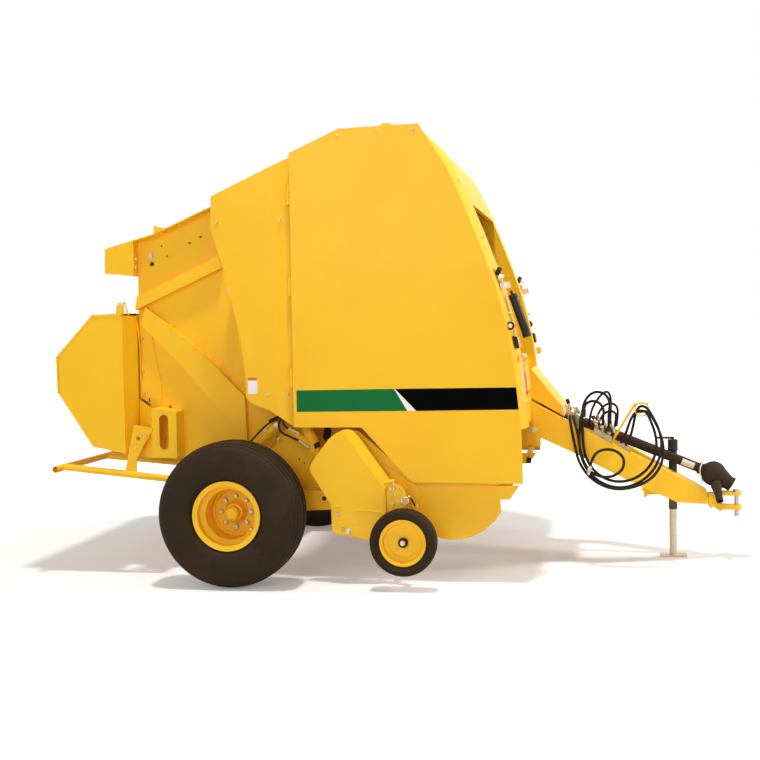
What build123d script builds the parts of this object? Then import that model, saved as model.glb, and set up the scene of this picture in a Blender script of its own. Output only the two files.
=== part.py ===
# Round baler, towed, with a wide pickup: millimetres, +X forward to the hitch, +Y to the machine's left, +Z up.
import os
from math import atan2, cos, degrees, hypot, pi, radians, sin, sqrt, tan

from build123d import *

os.makedirs("parts", exist_ok=True)

# ---- places along the machine ----
axle_x = -1000.0
shelf_gap = 5.0

# ---- main wheels ----
tyre_r = 478.0
tyre_w = 380.0
track_half = 1205.0
rim_r = 203.0
rim_flange_r = 226.5
rim_w = 310.0
rim_t = 8.0
disc_inset = 235.0
disc_t = 12.0
bolt_circle_r = 101.6
hub_bore_r = 35.0
hub_r = 70.0
cap_r = 46.0
hub_out = 120.0
run_gap = 0.05
seat_gap = 0.2

# ---- bale chamber and frame ----
chamber_half = 772.0
wall_t = 8.0
axle_box = 120.0
beam_box = 150.0
hinge_x = 500.0
hinge_z = 2620.0
hinge_r = 45.0
hinge_gap = 0.5
tail_gap = 10.0

# ---- outer covers ----
cover_half = 1050.0
rear_cover_half = 1030.0
sheet_t = 3.0
cover_lip = 28.0
hood_half = 1010.0
door_hinge_x = 370.0
door_hinge_y = 1040.0
door_hinges = (1350, 1950, 2550)

# ---- tailgate and wrap box ----
box_half = 990.0
tail_rib = 52.0
bracket_half = 950.0
bumper_tube_r = 24.0
bumper_out = 80.0

# ---- lift cylinders ----
base_x = 520.0
base_z = 840.0
lift_x = -50.0
lift_z = 1950.0
lift_y = 905.0
barrel_r = 40.0
rod_r = 20.0
pin_r = 20.0

# ---- pickup ----
pick_pivot_x = 700.0
pick_pivot_z = 930.0
pick_pin_r = 25.0
pick_half = 1000.0
reel_x = 1400.0
reel_z = 600.0
tine_tip_r = 285.0
tine_bar_r = 178.0
band_r = 222.0
gauge_x = 1139.0
gauge_z = 312.0
gauge_r = 215.0
gauge_w = 130.0
gauge_outside = 145.0
gauge_rim_r = 149.0
gauge_axle = 15.0
arm_tube_x = 1060.0
arm_tube_z = 620.0
arm_tube_r = 30.0
shield_outside = 120.0

# ---- drawbar ----
jack_x = 2874.0
jack_y = 85.0
jack_top = 838.0
mast_r = 30.0
mast_t = 3.0
leg_r = 26.0
pto_x = 2190.0
pto_z = 996.0
pto_r = 34.0
joint_r = 10.0
spline_r = 17.5

# ---- hoses ----
hose_r = 9.5
ring_x = 2650.0
ring_z = 1080.0
ring_r = 42.0


def at(points):
    return [(axle_x + x, z) for x, z in points]


def slab(points, y_low, y_high, mode=Mode.ADD):
    with BuildSketch(Plane.XZ.offset(-y_high)) as face:
        Polygon(*at(points), align=None)
    extrude(face.sketch, amount=y_high - y_low, mode=mode)


def side_slab(side, points, y_in, y_out, mode=Mode.ADD):
    slab(points, min(side * y_in, side * y_out), max(side * y_in, side * y_out), mode)


def rod_y(x, z, radius, y_low, y_high, mode=Mode.ADD):
    with Locations(Location((axle_x + x, (y_low + y_high) / 2, z), (90, 0, 0))):
        Cylinder(radius, y_high - y_low, mode=mode)


def side_rod(side, x, z, radius, y_in, y_out, mode=Mode.ADD):
    rod_y(x, z, radius, min(side * y_in, side * y_out), max(side * y_in, side * y_out), mode)


def rod_xz(x1, z1, x2, z2, radius, y, mode=Mode.ADD):
    tilt = degrees(atan2(x2 - x1, z2 - z1))
    middle = (axle_x + (x1 + x2) / 2, y, (z1 + z2) / 2)
    with Locations(Location(middle, (0, tilt, 0))):
        Cylinder(radius, hypot(x2 - x1, z2 - z1), mode=mode)


def block(x1, x2, y1, y2, z1, z2, mode=Mode.ADD):
    with Locations((axle_x + (x1 + x2) / 2, (y1 + y2) / 2, (z1 + z2) / 2)):
        Box(x2 - x1, y2 - y1, z2 - z1, mode=mode)


def save(part, name):
    part.label = name
    export_step(part, f"parts/{name}.step")


axle_z = tyre_r
pick_cover_half = pick_half + shield_outside
gauge_track = pick_cover_half + gauge_outside
wall_out = chamber_half + wall_t
tail_in = wall_out + tail_gap
tail_out = tail_in + wall_t
flange_y = track_half + rim_w / 2
disc_y = flange_y - disc_inset

# outline of the big side covers and of the hood behind them
cover_outline = [
    (384, 2822), (717, 2966), (1238, 2976), (1348, 2802), (1411, 2704), (1486, 2549),
    (1535, 2427), (1588, 2298), (1665, 2093), (1727, 1920), (1781, 1709), (1823, 1505),
    (1852, 1275), (1874, 1007), (1883, 660), (1165, 665), (837, 1024), (383, 1025),
]
hood_outline = [
    (430, 2790), (724, 2940), (1226, 2950), (1328, 2790), (1390, 2692), (1464, 2539),
    (1512, 2418), (1565, 2289), (1641, 2085), (1702, 1913), (1756, 1704), (1797, 1502),
    (1827, 1273), (1848, 1006), (1850, 990),
]

# ---- main frame: axle beam with its stubs, cross beams and the tailgate's hinge tube ----
wall_outline = [
    (-60, axle_z + axle_box / 2), (60, axle_z + axle_box / 2), (620, 560), (930, 700), (1010, 1000), (1790, 1000),
    (1760, 1500), (1660, 1900), (1540, 2220), (1400, 2560), (1290, 2760), (1190, 2880), (760, 2880),
    (430, 2720), (430, 2500), (250, 1700), (60, 900),
]
cross_beams = [(1900 - beam_box, 1900, 1020, 1020 + beam_box), (1220, 1300, 2700, 2780), (560, 640, 575, 650)]
with BuildPart() as main_frame:
    block(-axle_box / 2, axle_box / 2, -1000, 1000, axle_z - axle_box / 2, axle_z + axle_box / 2)
    for side in (-1, 1):
        side_rod(side, 0, axle_z, hub_bore_r - run_gap, 990, disc_y + hub_out - 30)
    rod_y(hinge_x, hinge_z, hinge_r, -tail_out - 12, tail_out + 12)
    for x_back, x_front, z_low, z_high in cross_beams:
        block(x_back, x_front, -chamber_half, chamber_half, z_low, z_high)
save(main_frame.part, "main_frame")

# ---- chamber walls with their outside rails, pins and cover posts ----
for side, name in ((-1, "chamber_wall_right"), (1, "chamber_wall_left")):
    with BuildPart() as chamber_wall:
        side_slab(side, wall_outline, chamber_half, wall_out)
        side_rod(side, hinge_x, hinge_z, hinge_r + seat_gap, chamber_half - 1, wall_out + 1, Mode.SUBTRACT)
        side_slab(side, [(axle_box / 2, 430), (585, 456), (585, 590), (axle_box / 2, 560)], chamber_half, 880)
        side_slab(side, [(247, 975), (459, 833), (394, 691)], wall_out - 2, wall_out + 14)
        side_rod(side, 549, 534, 14, 870, 881, Mode.SUBTRACT)
        side_rod(side, base_x, base_z, pin_r - run_gap, wall_out - 4, lift_y + 45)
        side_rod(side, pick_pivot_x, pick_pivot_z, pick_pin_r, wall_out - 4, pick_half + 10)
        for z in (1243, 2390):
            side_slab(side, [(445, z - 25), (495, z - 25), (495, z + 25), (445, z + 25)], wall_out - 4, 998)
        side_slab(side, [(405, 1060), (495, 1060), (495, 2700), (405, 2700)], 996, 1002)
    save(chamber_wall.part, name)

# ---- hood: the bent front and top sheet with its high opening ----
with BuildPart() as hood:
    slab(hood_outline + [(1840, 990)], -hood_half, hood_half)
    inner = [(430, 2783), (726, 2933), (1222, 2943), (1320, 2786), (1383, 2689), (1457, 2536),
             (1505, 2415), (1558, 2286), (1634, 2083), (1695, 1911), (1749, 1703), (1790, 1501),
             (1820, 1272), (1841, 1005), (1841, 900), (400, 900)]
    slab(inner, -hood_half - 1, hood_half + 1, Mode.SUBTRACT)
    block(1460, 1850, -wall_out, wall_out, 1420, 2490, Mode.SUBTRACT)
    block(1460, 1850, -wall_out - 4, wall_out + 4, 900, 1175, Mode.SUBTRACT)
    for side in (-1, 1):
        side_slab(side, inner[:14] + [(1841, 1000), (1770, 1000), (1735, 1480), (1640, 1880), (1520, 2200), (1385, 2530),
                                      (1270, 2730), (1175, 2850), (770, 2850), (430, 2705)], wall_out, wall_out + sheet_t)
save(hood.part, "hood")

# ---- rear covers beside the tailgate, bent inwards behind the big side covers ----
rear_outline = [
    (375, 2799), (-160, 2561), (-168, 2350), (-111, 2159), (-60, 1993), (-10, 1766), (25, 1593),
    (51, 1387), (54, 1227), (70, 1200), (135, 1167), (203, 1143), (278, 1095), (376, 1024),
    (425, 1024), (425, 2821),
]
for side, name in ((-1, "rear_cover_right"), (1, "rear_cover_left")):
    with BuildPart() as rear_cover:
        plan = [(-200, rear_cover_half), (266, rear_cover_half), (380, 1005), (441, 1005),
                (441, 1002), (379, 1002), (265, rear_cover_half - sheet_t), (-200, rear_cover_half - sheet_t)]
        with BuildSketch(Plane.XY.offset(1000)) as face:
            Polygon(*[(axle_x + x, side * y) for x, y in plan], align=None)
        extrude(face.sketch, amount=1850)
        side_slab(side, rear_outline, 990, 1040, Mode.INTERSECT)
        for z in door_hinges:
            with Locations((axle_x + door_hinge_x, side * door_hinge_y, z)):
                Cylinder(12, 40)
                Cylinder(6, 130)
            block(364, 376, min(side * 1006, side * 1035), max(side * 1006, side * 1035), z - 20, z + 20)
    save(rear_cover.part, name)

# ---- big side covers, hinged at their rear edge ----
for side, name in ((-1, "side_cover_right"), (1, "side_cover_left")):
    with BuildPart() as side_cover:
        side_slab(side, cover_outline, cover_half - cover_lip, cover_half)
        with BuildSketch(Plane.XZ) as face:
            Polygon(*at(cover_outline), align=None)
            offset(amount=-sheet_t, kind=Kind.INTERSECTION, mode=Mode.REPLACE)
        start = (cover_half - cover_lip - 1) * side
        inside = face.sketch.moved(Location((0, start, 0)))
        extrude(inside, amount=-side * (cover_lip + 1 - sheet_t), mode=Mode.SUBTRACT)
        for z in door_hinges:
            for step in (-42, 42):
                with Locations((axle_x + door_hinge_x, side * door_hinge_y, z + step)):
                    Cylinder(12, 38)
                block(377, 386, min(side * 1034, side * 1046), max(side * 1034, side * 1046), z + step - 19, z + step + 19)
                with Locations((axle_x + door_hinge_x, side * door_hinge_y, z + step)):
                    Cylinder(6.4, 39, mode=Mode.SUBTRACT)
    save(side_cover.part, name)

# ---- chamber belts and rollers of the front frame ----
front_rollers = [(1120, 1120, 60), (1290, 2040, 45), (1120, 2640, 50), (620, 2660, 50)]
belt_w = 230.0
belt_pitch = 255.0
belt_t = 8.0
belt_seat = 0.3
belt_count = 6
with BuildPart() as front_rolls:
    for x, z, radius in front_rollers:
        rod_y(x, z, radius, -chamber_half, chamber_half)
save(front_rolls.part, "front_rolls")


def belt_loops(rollers):
    """Flat belts side by side, each a closed loop round the given rollers."""
    with BuildPart() as belts:
        with BuildSketch(Plane.XZ) as loop:
            for shift, mode in ((belt_seat + belt_t, Mode.ADD), (belt_seat, Mode.SUBTRACT)):
                with BuildSketch(Plane.XZ, mode=Mode.PRIVATE) as disc_set:
                    for x, z, radius in rollers:
                        with Locations((axle_x + x, z)):
                            Circle(radius + shift)
                    make_hull()
                add(disc_set.sketch_local, mode=mode)
        places = [(i - (belt_count - 1) / 2) * belt_pitch + belt_w / 2 for i in range(belt_count)]
        for y in places:
            extrude(loop.sketch.moved(Location((0, y, 0))), amount=belt_w)
    return belts.part


save(belt_loops(front_rollers[:3]), "front_belts")

# ---- tailgate frame: two ribbed walls joined by cross members ----
tail_outline = [
    (-975, 2244), (-615, 2339), (-255, 2492), (100, 2610), (335, 2612), (440, 2665), (500, 2690), (570, 2620),
    (500, 2545), (400, 2400), (400, 2100), (330, 1400), (180, 900), (60, 775), (-463, 770),
    (-633, 794), (-773, 1780), (-770, 2052), (-872, 2065), (-980, 2075),
]
upper_rib = [(-765, 1913), (-777, 1821), (-155, 2096), (-175, 2180)]
lower_rib = [(-705, 1837), (-364, 1577), (-10, 1220), (1, 913), (-430, 1406), (-746, 1724)]
top_strip = [(-975, 2244), (-615, 2339), (-255, 2492), (-100, 2549), (-98, 2543), (-253, 2486),
             (-613, 2333), (-975, 2238)]
corner_box = [(-975, 2244), (-770, 2298), (-770, 2052), (-872, 2065), (-980, 2075)]
bracket_t = 6.0
bracket_side = [(-765, 809), (-465, 809), (-465, 1125), (-631, 1149), (-765, 1206)]


def bracket(side):
    """A bent plate that stands off the tail wall, with a slot in its face and a wing to the rear."""
    with BuildPart() as plate:
        plan = [(-465, tail_out - 4), (-465, bracket_half), (-640, bracket_half), (-759, bracket_half - 90),
                (-759, bracket_half - 97), (-642, bracket_half - bracket_t), (-471, bracket_half - bracket_t),
                (-471, tail_out - 4)]
        with BuildSketch(Plane.XY.offset(700)) as face:
            Polygon(*[(axle_x + x, side * y) for x, y in plan], align=None)
        extrude(face.sketch, amount=600)
        side_slab(side, [(-640, 1130), (-465, 1106), (-465, 1125), (-631, 1149)], tail_out - 4, bracket_half - 1)
        side_slab(side, bracket_side, tail_out - 4, bracket_half + 1, Mode.INTERSECT)
        with BuildSketch(Plane.XZ.offset(-side * (bracket_half + 5))) as face:
            with Locations((axle_x - 556, 985)):
                SlotOverall(238, 65, rotation=90)
        extrude(face.sketch, amount=side * 20, mode=Mode.SUBTRACT)
    return plate.part


with BuildPart() as tail_frame:
    slab(corner_box, -880, 880)
    rod_y(-600, 850, 50, -tail_in - 2, tail_in + 2)
    rod_y(-250, 2420, 40, -tail_in - 2, tail_in + 2)
    for side in (-1, 1):
        side_slab(side, tail_outline, tail_in, tail_out)
        side_rod(side, hinge_x, hinge_z, hinge_r + hinge_gap, tail_in - 1, tail_out + 1, Mode.SUBTRACT)
        side_slab(side, upper_rib, tail_out, tail_out + tail_rib)
        side_slab(side, lower_rib, tail_out, tail_out + tail_rib)
        side_slab(side, top_strip, tail_out, 880)
        side_rod(side, lift_x, lift_z, 45, tail_out - 4, lift_y - 30)
        add(bracket(side))
save(tail_frame.part, "tail_frame")

tail_rollers = [(-660, 1000, 45), (-650, 1950, 45), (-560, 2060, 40), (-120, 2370, 45), (-80, 880, 60)]
with BuildPart() as tail_rolls:
    for x, z, radius in tail_rollers:
        rod_y(x, z, radius, -tail_in, tail_in)
save(tail_rolls.part, "tail_rolls")
save(belt_loops(tail_rollers[:2]), "tail_belts")
save(belt_loops(tail_rollers[2:4]), "top_belts")

# ---- wrap box at the rear, with its lid ----
lid_x = -1300.0
lid_z = 1238.0
box_outline = [(-818, 842), (-822, 1785), (-1030, 1778), (-1291, 1502), (-1288, 1243), (-1056, 889)]
with BuildPart() as wrap_box:
    slab(box_outline, -box_half, box_half)
    slab([(-826, 1900), (-1400, 1900), (-1400, 1250), (-1283, 1246), (-1053, 894), (-826, 849)],
         -box_half + 4, box_half - 4, Mode.SUBTRACT)
    for y in (-700, 0, 700):
        rod_y(lid_x, lid_z, 9, y - 28, y + 28)
        rod_y(lid_x, lid_z, 4, y - 82, y + 82)
        slab([(-1300, 1229), (-1300, 1240), (-1284, 1242), (-1280, 1229)], y - 28, y + 28)
    for side in (-1, 1):
        side_slab(side, [(-822, 1650), (-700, 1650), (-700, 1750), (-822, 1750)], tail_in - wall_t, tail_in)
        side_slab(side, [(-822, 1080), (-620, 1080), (-620, 1160), (-822, 1160)], tail_in - wall_t, tail_in)
        plan = [(-822, box_half), (-776, tail_out + 32), (-776, tail_out + 2), (-800, tail_out + 2), (-826, box_half - 10)]
        with BuildSketch(Plane.XY.offset(850)) as face:
            Polygon(*[(axle_x + x, side * y) for x, y in plan], align=None)
        extrude(face.sketch, amount=930)
save(wrap_box.part, "wrap_box")

lid_outline = [(-822, 1794), (-1033, 1787), (-1301, 1505), (-1298, 1252), (-1302, 1252), (-1305, 1507),
               (-1035, 1791), (-822, 1798)]
with BuildPart() as wrap_lid:
    slab(lid_outline, -box_half, box_half)
    for y in (-700, 0, 700):
        for step in (-55, 55):
            rod_y(lid_x, lid_z, 9, y + step - 25, y + step + 25)
            slab([(-1303, 1240), (-1297, 1240), (-1298, 1258), (-1302, 1258)], y + step - 25, y + step + 25)
            rod_y(lid_x, lid_z, 4.4, y + step - 26, y + step + 26, Mode.SUBTRACT)
save(wrap_lid.part, "wrap_lid")

# ---- bumper frame under the wrap box, hung from the tailgate brackets ----
bumper_half = bracket_half + bumper_out
with BuildPart() as bumper:
    rod_y(-1316, 735, bumper_tube_r, -bumper_half, bumper_half)
    rod_y(-520, 667, bumper_tube_r, -bracket_half - 5, bracket_half + 5)
    for side in (-1, 1):
        rod_xz(-1300, 746, -490, 664, bumper_tube_r, side * (bracket_half + 4))
        rod_xz(-1310, 735, -520, 667, bumper_tube_r - 1, side * 150)
        side_slab(side, [(-768, 1036), (-632, 1016), (-640, 985), (-700, 900), (-752, 800), (-755, 700), (-842, 700)], bracket_half + seat_gap, bracket_half + 8)
        side_rod(side, -738, 943, 15, bracket_half - 1, bracket_half + 9, Mode.SUBTRACT)
        side_rod(side, -1316, 735, bumper_tube_r - 4, bumper_half - 45, bumper_half + 1, Mode.SUBTRACT)
save(bumper.part, "bumper")

# ---- tailgate lift cylinders ----
lift_len = hypot(lift_x - base_x, lift_z - base_z)
lift_dx = (lift_x - base_x) / lift_len
lift_dz = (lift_z - base_z) / lift_len


def along(distance):
    return (base_x + lift_dx * distance, base_z + lift_dz * distance)


for side, end in ((-1, "right"), (1, "left")):
    with BuildPart() as barrel:
        y = side * lift_y
        rod_y(base_x, base_z, 38, y - 30, y + 30)
        rod_xz(*along(30), *along(lift_len - 150), barrel_r, y)
        rod_xz(*along(60), *along(lift_len - 100), rod_r + 1, y, Mode.SUBTRACT)
        rod_y(base_x, base_z, pin_r, y - 31, y + 31, Mode.SUBTRACT)
    save(barrel.part, f"lift_barrel_{end}")
    with BuildPart() as rod:
        rod_y(lift_x, lift_z, 34, y - 28, y + 28)
        side_rod(side, lift_x, lift_z, pin_r, lift_y, lift_y + 40)
        rod_xz(*along(70), *along(lift_len - 20), rod_r, y)
    save(rod.part, f"lift_rod_{end}")

# ---- main wheels ----
for side, end in ((-1, "right"), (1, "left")):
    tilt = Plane(origin=(axle_x, 0, axle_z), x_dir=(0, side, 0), z_dir=(1, 0, 0))
    inner = track_half - rim_w / 2
    rim_section = [(inner, rim_flange_r), (inner + 12, rim_flange_r), (inner + 14, rim_r), (inner + 70, rim_r),
                   (inner + 90, rim_r - 30), (flange_y - 90, rim_r - 30), (flange_y - 70, rim_r),
                   (flange_y - 14, rim_r), (flange_y - 12, rim_flange_r), (flange_y, rim_flange_r),
                   (flange_y - 6, rim_r - rim_t), (flange_y - 66, rim_r - rim_t), (flange_y - 86, rim_r - 38),
                   (inner + 86, rim_r - 38), (inner + 66, rim_r - rim_t), (inner + 6, rim_r - rim_t)]
    disc_section = [(-60, hub_bore_r), (-60, hub_r), (-disc_t, hub_r), (-disc_t, rim_r - 7), (-2, rim_r - 7), (-2, 172),
                    (9, 164), (9, 150), (0, 141), (0, hub_r + 10), (12, hub_r), (60, hub_r - 14), (62, cap_r),
                    (hub_out - 16, cap_r - 2), (hub_out - 4, cap_r - 15), (hub_out, cap_r - 32), (hub_out, 0),
                    (hub_out - 25, 0), (hub_out - 25, hub_bore_r)]
    with BuildPart() as wheel:
        with BuildSketch(tilt) as face:
            Polygon(*rim_section, align=None)
            Polygon(*[(disc_y + y, r) for y, r in disc_section], align=None)
        revolve(face.sketch, axis=Axis((axle_x, 0, axle_z), (0, 1, 0)))
    save(wheel.part, f"wheel_{end}")
    half = tyre_w / 2
    bead = rim_w / 2 - 14.3
    tyre_section = [(-bead, rim_r + 0.3), (-bead, rim_flange_r + 3), (-half + 14, 242), (-half + 4, 275), (-half, 330), (-half + 8, 400), (-half + 40, 455),
                    (-half + 80, tyre_r), (half - 80, tyre_r), (half - 40, 455), (half - 8, 400), (half, 330),
                    (half - 4, 275), (half - 14, 242), (bead, rim_flange_r + 3), (bead, rim_r + 0.3)]
    with BuildPart() as tyre:
        with BuildSketch(tilt) as face:
            Polygon(*[(track_half + y, r) for y, r in tyre_section], align=None)
        revolve(face.sketch, axis=Axis((axle_x, 0, axle_z), (0, 1, 0)))
    save(tyre.part, f"tyre_{end}")

# ---- pickup frame: side plates, floor, top sheet and gauge wheel arms ----
pick_side = [
    (640, 900), (700, 1000), (800, 1000), (1150, 700), (1200, 885), (1400, 915), (1560, 865), (1690, 730), (1725, 645), (1738, 470), (1700, 415), (1627, 350),
    (1543, 305), (1470, 288), (1409, 285), (1338, 294), (1185, 355), (1000, 500), (820, 640), (660, 800),
]


def polar(radius, angle):
    return (reel_x + radius * cos(radians(angle)), reel_z + radius * sin(radians(angle)))


tine_bars = 5
tine_pitch = 72.0
tine_count = int(2 * (pick_half - 100) / tine_pitch) + 1
band_w = 46.0
band_angles = (105, 70, 35, 0, -35, -70, -105, -125)
band_ends = [polar(302, 118), polar(310, -132)]
(top_x, top_z), (low_x, low_z) = band_ends
band_out = [(top_x - 12, top_z + 11), (top_x + 12, top_z + 11)] + [polar(band_r + 3, a) for a in band_angles]
band_low = [(low_x + 12, low_z + 8), (low_x - 12, low_z + 8), (low_x - 12, low_z + 11), (low_x + 12, low_z + 11)]
band_in = [polar(band_r, a) for a in reversed(band_angles)] + [(top_x + 12, top_z + 8), (top_x - 12, top_z + 8)]
with BuildPart() as pick_frame:
    rod_y(1040, 740, 30, -pick_half + 4, pick_half - 4)
    slab([(1062, 566), (1172, 376), (1178, 380), (1070, 572)], -pick_half + 4, pick_half - 4)
    for side in (-1, 1):
        side_slab(side, pick_side, pick_half - 6, pick_half)
        side_slab(side, [(672, 958), (735, 958), (1183, 633), (1066, 516)], pick_half, pick_half + 12)
        side_rod(side, 1123, 576, 92, pick_half, pick_half + 12)
        side_slab(side, [(1690, 639), (1857, 644), (1796, 556), (1700, 551)], pick_half - 2, pick_half + 8)
        side_rod(side, pick_pivot_x, pick_pivot_z, 45, pick_half, pick_half + 12)
        side_rod(side, pick_pivot_x, pick_pivot_z, pick_pin_r + 0.5, pick_half - 7, pick_half + 13, Mode.SUBTRACT)
        side_rod(side, arm_tube_x, arm_tube_z, arm_tube_r + seat_gap, pick_half - 7, pick_half + 13, Mode.SUBTRACT)
        side_rod(side, reel_x, reel_z, 28 - run_gap, pick_half - 60, pick_half - 5)
save(pick_frame.part, "pick_frame")

# ---- stripper bands that wrap the reel between its tines ----
with BuildPart() as stripper_bands:
    for k in range(tine_count + 1):
        y = (k - tine_count / 2) * tine_pitch
        slab(band_out + band_low + band_in, y - band_w / 2, y + band_w / 2)
    for x, z in band_ends:
        block(x - 12, x + 12, -pick_half + 6, pick_half - 6, z - 8, z + 8)
save(stripper_bands.part, "stripper_bands")

# ---- gauge wheel arms on their through tube ----
gauge_plate = [(1016, 560), (1024, 655), (1046, 668), (1082, 668), (1112, 650), (1136, 615), (1150, 560), (1172, 318),
               (1139, 280), (1104, 300)]
with BuildPart() as gauge_arms:
    rod_y(arm_tube_x, arm_tube_z, arm_tube_r, -pick_cover_half - 12, pick_cover_half + 12)
    for side in (-1, 1):
        side_slab(side, gauge_plate, pick_cover_half + 10, pick_cover_half + 22)
        for x, z in ((1074, 640), (1098, 636)):
            side_rod(side, x, z, 5, pick_cover_half + 9, pick_cover_half + 23, Mode.SUBTRACT)
        side_rod(side, gauge_x, gauge_z, gauge_axle, pick_cover_half + 20, gauge_track + 30)
save(gauge_arms.part, "gauge_arms")

# ---- pickup side shields: shallow pans with a slanted front return ----
shield_outline = [
    (824, 962), (1040, 662), (1003, 640), (1003, 400), (898, 291), (775, 315), (668, 333), (648, 346), (643, 370),
    (639, 523), (530, 700), (509, 732), (501, 762), (508, 789), (540, 832), (600, 914), (632, 955), (672, 988),
    (712, 1008), (748, 1015), (786, 1004),
]
fold_deep = 56.0
fold_wide = 42.0


def pan(side, shrink):
    """A closed pan of the shield's outline with its long front edge bevelled."""
    with BuildPart() as solid:
        with BuildSketch(Plane.XZ) as face:
            Polygon(*at(shield_outline), align=None)
            offset(amount=-shrink, kind=Kind.INTERSECTION, mode=Mode.REPLACE)
        deep = shield_deep - shrink
        start = -side * (pick_cover_half - shrink) if side > 0 else pick_cover_half - shrink
        flat = face.sketch.moved(Location((0, -start, 0)))
        extrude(flat, amount=side * deep)
        outer = side * (pick_cover_half - shrink)
        long_edges = [e for e in solid.edges() if abs(e.center().Y - outer) < 0.1 and e.length > 330
                      and e.center().X > axle_x + 850]
        chamfer(long_edges, length=fold_wide, length2=fold_deep)
    return solid.part


shield_deep = 60.0
for side, name in ((-1, "pick_shield_right"), (1, "pick_shield_left")):
    outer = pan(side, 0)
    inner = pan(side, sheet_t)
    with BuildPart() as shield:
        add(outer)
        add(inner.moved(Location((0, -side * 1, 0))), mode=Mode.SUBTRACT)
        for x, z in ((780, 740), (930, 520)):
            side_slab(side, [(x, z), (x + 40, z), (x + 40, z + 40), (x, z + 40)], pick_half, pick_cover_half - 2)
    save(shield.part, name)

# ---- tined reel ----
with BuildPart() as reel:
    rod_y(reel_x, reel_z, 50, -pick_half + 60, pick_half - 60)
    for y in (-pick_half + 100, 0, pick_half - 100):
        rod_y(reel_x, reel_z, tine_bar_r + 14, y - 5, y + 5)
    for i in range(tine_bars):
        a = 2 * pi * i / tine_bars
        with Locations(Location((axle_x + reel_x + tine_bar_r * cos(a), 0, reel_z + tine_bar_r * sin(a)), (0, -degrees(a), 0))):
            Box(28, 2 * (pick_half - 70), 28)
        middle = (tine_bar_r + 8 + tine_tip_r) / 2
        spots = [Location((axle_x + reel_x + middle * cos(a), (k - (tine_count - 1) / 2) * tine_pitch,
                           reel_z + middle * sin(a)), (0, -degrees(a), 0)) for k in range(tine_count)]
        with Locations(*spots):
            Box(tine_tip_r - tine_bar_r - 8, 6, 8)
    rod_y(reel_x, reel_z, 28, -pick_half + 55, pick_half - 55, Mode.SUBTRACT)
save(reel.part, "reel")

# ---- gauge wheels: a dished disc in a narrow rim, and a plain ribbed tyre, sections as (y, radius) ----
gauge_section = [
    (45, gauge_rim_r), (45, gauge_rim_r - 10), (38, gauge_rim_r - 20), (14, gauge_rim_r - 25), (16, 106), (7, 90), (7, 30),
    (35, 28), (35, gauge_axle + run_gap), (-45, gauge_axle + run_gap), (-45, 28), (-4, 30), (-4, 92), (4, 112),
    (2, gauge_rim_r - 18), (-30, gauge_rim_r - 14), (-45, gauge_rim_r - 9), (-45, gauge_rim_r),
]
gauge_tyre_half = [(40, gauge_rim_r + 0.3), (55, 160), (64, 182), (60, 200), (46, gauge_r - 4), (20, gauge_r)]
gauge_tyre_section = gauge_tyre_half + [(-y, r) for y, r in reversed(gauge_tyre_half)]
for side, end in ((-1, "right"), (1, "left")):
    tilt = Plane(origin=(axle_x + gauge_x, side * gauge_track, gauge_z), x_dir=(0, side, 0), z_dir=(1, 0, 0))
    for name, section in ((f"gauge_wheel_{end}", gauge_section), (f"gauge_tyre_{end}", gauge_tyre_section)):
        with BuildPart() as round_piece:
            with BuildSketch(tilt) as face:
                Polygon(*section, align=None)
            revolve(face.sketch, axis=Axis((axle_x + gauge_x, 0, gauge_z), (0, 1, 0)))
        save(round_piece.part, name)

# ---- drawbar: two legs that meet in a nose ----
draw_side = [(1900, 1146), (3098, 495), (3110, 430), (3100, 397), (2887, 420), (2824, 455), (2661, 532),
             (2228, 772), (1975, 889), (1900, 910)]


def draw_top(x):
    return 1146 - (1146 - 495) * (x - 1900) / (3098 - 1900)


with BuildPart() as drawbar:
    for side in (-1, 1):
        plan = [(1900, 400), (1900, 300), (2290, 300), (2800, 60), (2800, 0), (3110, 0), (3110, 60), (2950, 120), (2330, 400)]
        with BuildSketch(Plane.XY) as face:
            Polygon(*[(axle_x + x, side * y) for x, y in plan], align=None)
        extrude(face.sketch, amount=1300)
    slab(draw_side, -600, 600, Mode.INTERSECT)
    for side in (-1, 1):
        side_slab(side, [(2661, 545), (2663, 450), (2692, 479), (2775, 481), (2790, 500), (2700, 560)], 180, 192)
    with Locations((axle_x + jack_x, jack_y, 500)):
        Cylinder(mast_r, 600, mode=Mode.SUBTRACT)
save(drawbar.part, "drawbar")

clevis_half = 45.0
pin_x = 3305.0
pin_z = 400.0
with BuildPart() as clevis:
    block(3110, 3192, -clevis_half, clevis_half, 392, 470)
    block(3180, 3350, -clevis_half, clevis_half, 455, 480)
    slab([(3110, 392), (3112, 378), (3128, 362), (3142, 378), (3188, 346), (3215, 358), (3350, 352), (3350, 384),
          (3215, 389), (3190, 393)], -clevis_half, clevis_half)
    with BuildSketch(Plane.XY.offset(300)) as face:
        Polygon((axle_x + 3100, -clevis_half - 1), (axle_x + 3100, clevis_half + 1), (axle_x + pin_x - 10, clevis_half + 1),
                (axle_x + pin_x - 10, -clevis_half - 1), align=None)
        with Locations((axle_x + pin_x - 10, 0)):
            Circle(clevis_half)
    extrude(face.sketch, amount=300, mode=Mode.INTERSECT)
    with Locations((axle_x + pin_x, 0, pin_z)):
        Cylinder(16.5, 300, mode=Mode.SUBTRACT)
save(clevis.part, "clevis")
with BuildPart() as hitch_pin:
    with Locations((axle_x + pin_x, 0, pin_z)):
        Cylinder(16, 185)
    with Locations((axle_x + pin_x, 0, pin_z + 87)):
        Cylinder(26, 14)
save(hitch_pin.part, "hitch_pin")

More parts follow.
